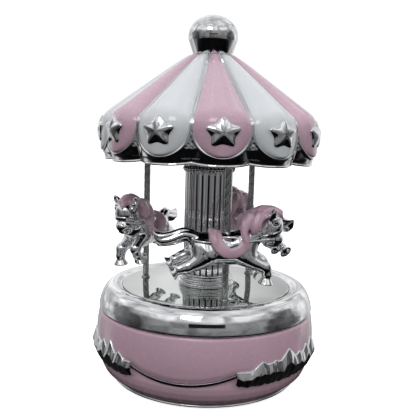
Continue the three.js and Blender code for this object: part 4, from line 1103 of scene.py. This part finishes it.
def canopy():
    canopy_shell()
    for gore in range(GORES):
        colour = "white" if gore % 2 else "pink"
        node = f"{colour}_panel_{gore // 2 + 1}"
        build(f"{node}_look", enamel_panel(gore), "carousel", f"{colour}_enamel", [node])
    finial()


def finial():
    """Oblate ball that tapers almost straight down onto the crown."""
    start = -math.radians(FINIAL_TAPER_FROM)
    rise = np.linspace(start, math.pi / 2, 60)
    ball_line = np.stack([FINIAL_R * np.cos(rise), FINIAL_Z + FINIAL_HALF_HEIGHT * np.sin(rise)], -1)
    seat = CANOPY_TOP - 0.9
    seat_r = ball_line[0, 0] - 0.36 * (ball_line[0, 1] - seat)
    profile = [(0, CANOPY_TOP - 10), (2.6, CANOPY_TOP - 10), (2.6, seat), (seat_r, seat),
               *ball_line.tolist()]
    build("finial_look", revolve(profile, 0.2, 192, loop=False), "carousel", "plated_metal",
          ["finial"])


# ------------------------------------------------------------------- carried-over CAD pieces


def dress_movement():
    """Gives the hidden movement's CAD pieces their finish."""
    for part in frame["record"]["subparts"]:
        node = frame["nodes"][part["node"]]
        if not node.hide_render:
            node.data.materials.clear()
            node.data.materials.append(LOOKS[part["material_slot"]])


# --------------------------------------------------------------------------- stage and light


def glow(name, colour, strength):
    material = bpy.data.materials.new(name)
    material.use_nodes = True
    tree = material.node_tree
    tree.nodes.clear()
    light = tree.nodes.new("ShaderNodeEmission")
    light.inputs["Color"].default_value = (*colour, 1)
    light.inputs["Strength"].default_value = strength
    output = tree.nodes.new("ShaderNodeOutputMaterial")
    tree.links.new(light.outputs["Emission"], output.inputs["Surface"])
    return material


def sheet(name, corners, material):
    mesh = bpy.data.meshes.new(name)
    mesh.from_pydata(corners, [], [tuple(range(len(corners)))])
    mesh.materials.append(material)
    piece = bpy.data.objects.new(name, mesh)
    bpy.context.scene.collection.objects.link(piece)
    piece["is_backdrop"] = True
    return piece


def card(name, middle, size, look_at, material):
    """Upright rectangle that faces a point; it only shows in reflections."""
    width, height = size
    piece = sheet(name, [(-width / 2, -height / 2, 0), (width / 2, -height / 2, 0),
                         (width / 2, height / 2, 0), (-width / 2, height / 2, 0)], material)
    piece.location = middle
    aim = Vector(look_at) - Vector(middle)
    piece.rotation_euler = aim.to_track_quat("Z", "Y").to_euler()
    piece.visible_camera = False
    piece.visible_diffuse = False
    piece.visible_shadow = False


def stage():
    """Pale floor and a white surround, which the polished metal doesn't mirror."""
    pale = bpy.data.materials.new("pale_floor")
    pale.use_nodes = True
    shader = pale.node_tree.nodes["Principled BSDF"]
    shader.inputs["Base Color"].default_value = (0.95, 0.95, 0.95, 1)
    shader.inputs["Roughness"].default_value = 0.9
    shader.inputs["Emission Color"].default_value = (1, 1, 1, 1)
    shader.inputs["Emission Strength"].default_value = 0.75
    reach = 3.0
    floor = sheet("floor", [(-reach, -reach, 0), (reach, -reach, 0), (reach, reach, 0),
                            (-reach, reach, 0)], pale)
    floor.visible_glossy = False
    floor.visible_diffuse = False

    bpy.ops.mesh.primitive_uv_sphere_add(segments=48, ring_count=24, radius=4.0)
    surround = bpy.context.object
    surround.name = "surround"
    surround.data.materials.append(glow("white_surround", (1, 1, 1), 1.05))
    surround.visible_glossy = False
    surround.visible_diffuse = False
    surround.visible_transmission = False
    surround.visible_shadow = False
    surround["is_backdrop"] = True


def world():
    """Studio seen in the metal: black below, a bright backdrop, and a darker room in front."""
    studio = bpy.data.worlds.new("studio")
    bpy.context.scene.world = studio
    studio.use_nodes = True
    nodes = Nodes(studio.node_tree)
    background = studio.node_tree.nodes["Background"]
    direction = nodes.add("ShaderNodeTexCoord").outputs["Generated"]
    split = nodes.add("ShaderNodeSeparateXYZ")
    nodes.link(direction, split.inputs["Vector"])
    ramp = nodes.add("ShaderNodeValToRGB")
    tones = ((0.0, 0.010), (0.275, 0.012), (0.305, 0.04), (0.325, 0.42), (0.42, 0.62),
             (0.52, 0.80), (0.68, 0.92), (1.0, 0.80))
    stops = ramp.color_ramp.elements
    while len(stops) < len(tones):
        stops.new(0.5)
    for stop, (place_on_ramp, tone) in zip(stops, tones):
        stop.position = place_on_ramp
        stop.color = (tone, tone, tone * 1.01, 1)
    nodes.link(nodes.remap(split.outputs["Z"], (-1, 1), (0, 1)), ramp.inputs["Fac"])
    room = nodes.remap(split.outputs["Y"], (-0.15, 0.35), (0.28, 1.0))
    ceiling = nodes.remap(split.outputs["Z"], (0.22, 0.55), (0.0, 0.85))
    room = nodes.math("MAXIMUM", room, ceiling)
    cloud = nodes.spread(nodes.noise(direction, 2.6, 3.0, 0.8), 0.40, 1.40)
    wobble = nodes.remap(nodes.noise(direction, 4.0, 2.0), (0, 1), (-0.09, 0.09))
    aside = nodes.math("ADD", nodes.math("ABSOLUTE", split.outputs["X"]), wobble)
    curtains = nodes.remap(aside, (0.88, 0.94), (1.0, 0.28))
    above = nodes.remap(split.outputs["Z"], (0.30, 0.45), (0.0, 1.0))
    curtains = nodes.math("MAXIMUM", curtains, above)
    shade = nodes.math("MULTIPLY", nodes.math("MULTIPLY", cloud, room), curtains)
    mixed = nodes.add("ShaderNodeMix", data_type="RGBA", blend_type="MULTIPLY")
    mixed.inputs["Factor"].default_value = 1.0
    nodes.link(ramp.outputs["Color"], mixed.inputs["A"])
    nodes.link(shade, mixed.inputs["B"])
    nodes.link(mixed.outputs["Result"], background.inputs["Color"])
    background.inputs["Strength"].default_value = 1.0


def area_light(name, place_at, aim, size, power):
    light = bpy.data.lights.new(name, "AREA")
    light.shape = "RECTANGLE"
    light.size, light.size_y = size
    light.energy = power
    lamp = bpy.data.objects.new(name, light)
    bpy.context.scene.collection.objects.link(lamp)
    lamp.location = place_at
    lamp.rotation_euler = (Vector(aim) - Vector(place_at)).to_track_quat("-Z", "Y").to_euler()
    return lamp


def lights():
    middle = (0, 0, 0.08)
    area_light("softbox_front", (-0.22, -0.75, 0.75), middle, (0.34, 0.28), 1.0)
    left = area_light("softbox_left", (-0.85, -0.25, 0.55), middle, (0.35, 0.7), 1.2)
    left.visible_glossy = False
    side = area_light("softbox_right", (0.85, -0.35, 0.45), middle, (0.3, 0.6), 1.6)
    side.visible_glossy = False
    above = area_light("softbox_top", (0.0, 0.15, 0.95), middle, (0.7, 0.7), 2.9)
    above.data.color = (0.94, 0.96, 1.0)
    above.visible_glossy = False
    fill = area_light("fill_front", (-0.05, -0.95, 0.30), middle, (0.6, 0.4), 1.2)
    fill.visible_glossy = False
    dark = glow("dark_camera", (0.01, 0.01, 0.012), 1.0)
    card("camera_body", (0.02, -0.46, 0.175), (0.30, 0.05), middle, dark)


def camera():
    lens = bpy.data.cameras.new("camera")
    lens.sensor_width = 36.0
    lens.lens = 51.4
    shooter = bpy.data.objects.new("camera", lens)
    bpy.context.scene.collection.objects.link(shooter)
    pitch, roll = math.radians(-7.6), math.radians(1.7)
    shooter.matrix_world = (Matrix.Translation((0.0009, -0.279, 0.115))
                            @ Matrix.Rotation(math.radians(90) + pitch, 4, "X")
                            @ Matrix.Rotation(roll, 4, "Z"))
    bpy.context.scene.camera = shooter


# ------------------------------------------------------------------------------------ build

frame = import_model()
cad_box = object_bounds()

base_shell()
garlands()
foot()
underside()
turntable()
column()
poles()
horses()
canopy()
dress_movement()
stage()
world()
lights()
camera()
bpy.context.scene.view_settings.view_transform = "Standard"

boxes = {name: [list(corner) for corner in corners]
         for name, corners in (("cad", cad_box), ("visual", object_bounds()))}
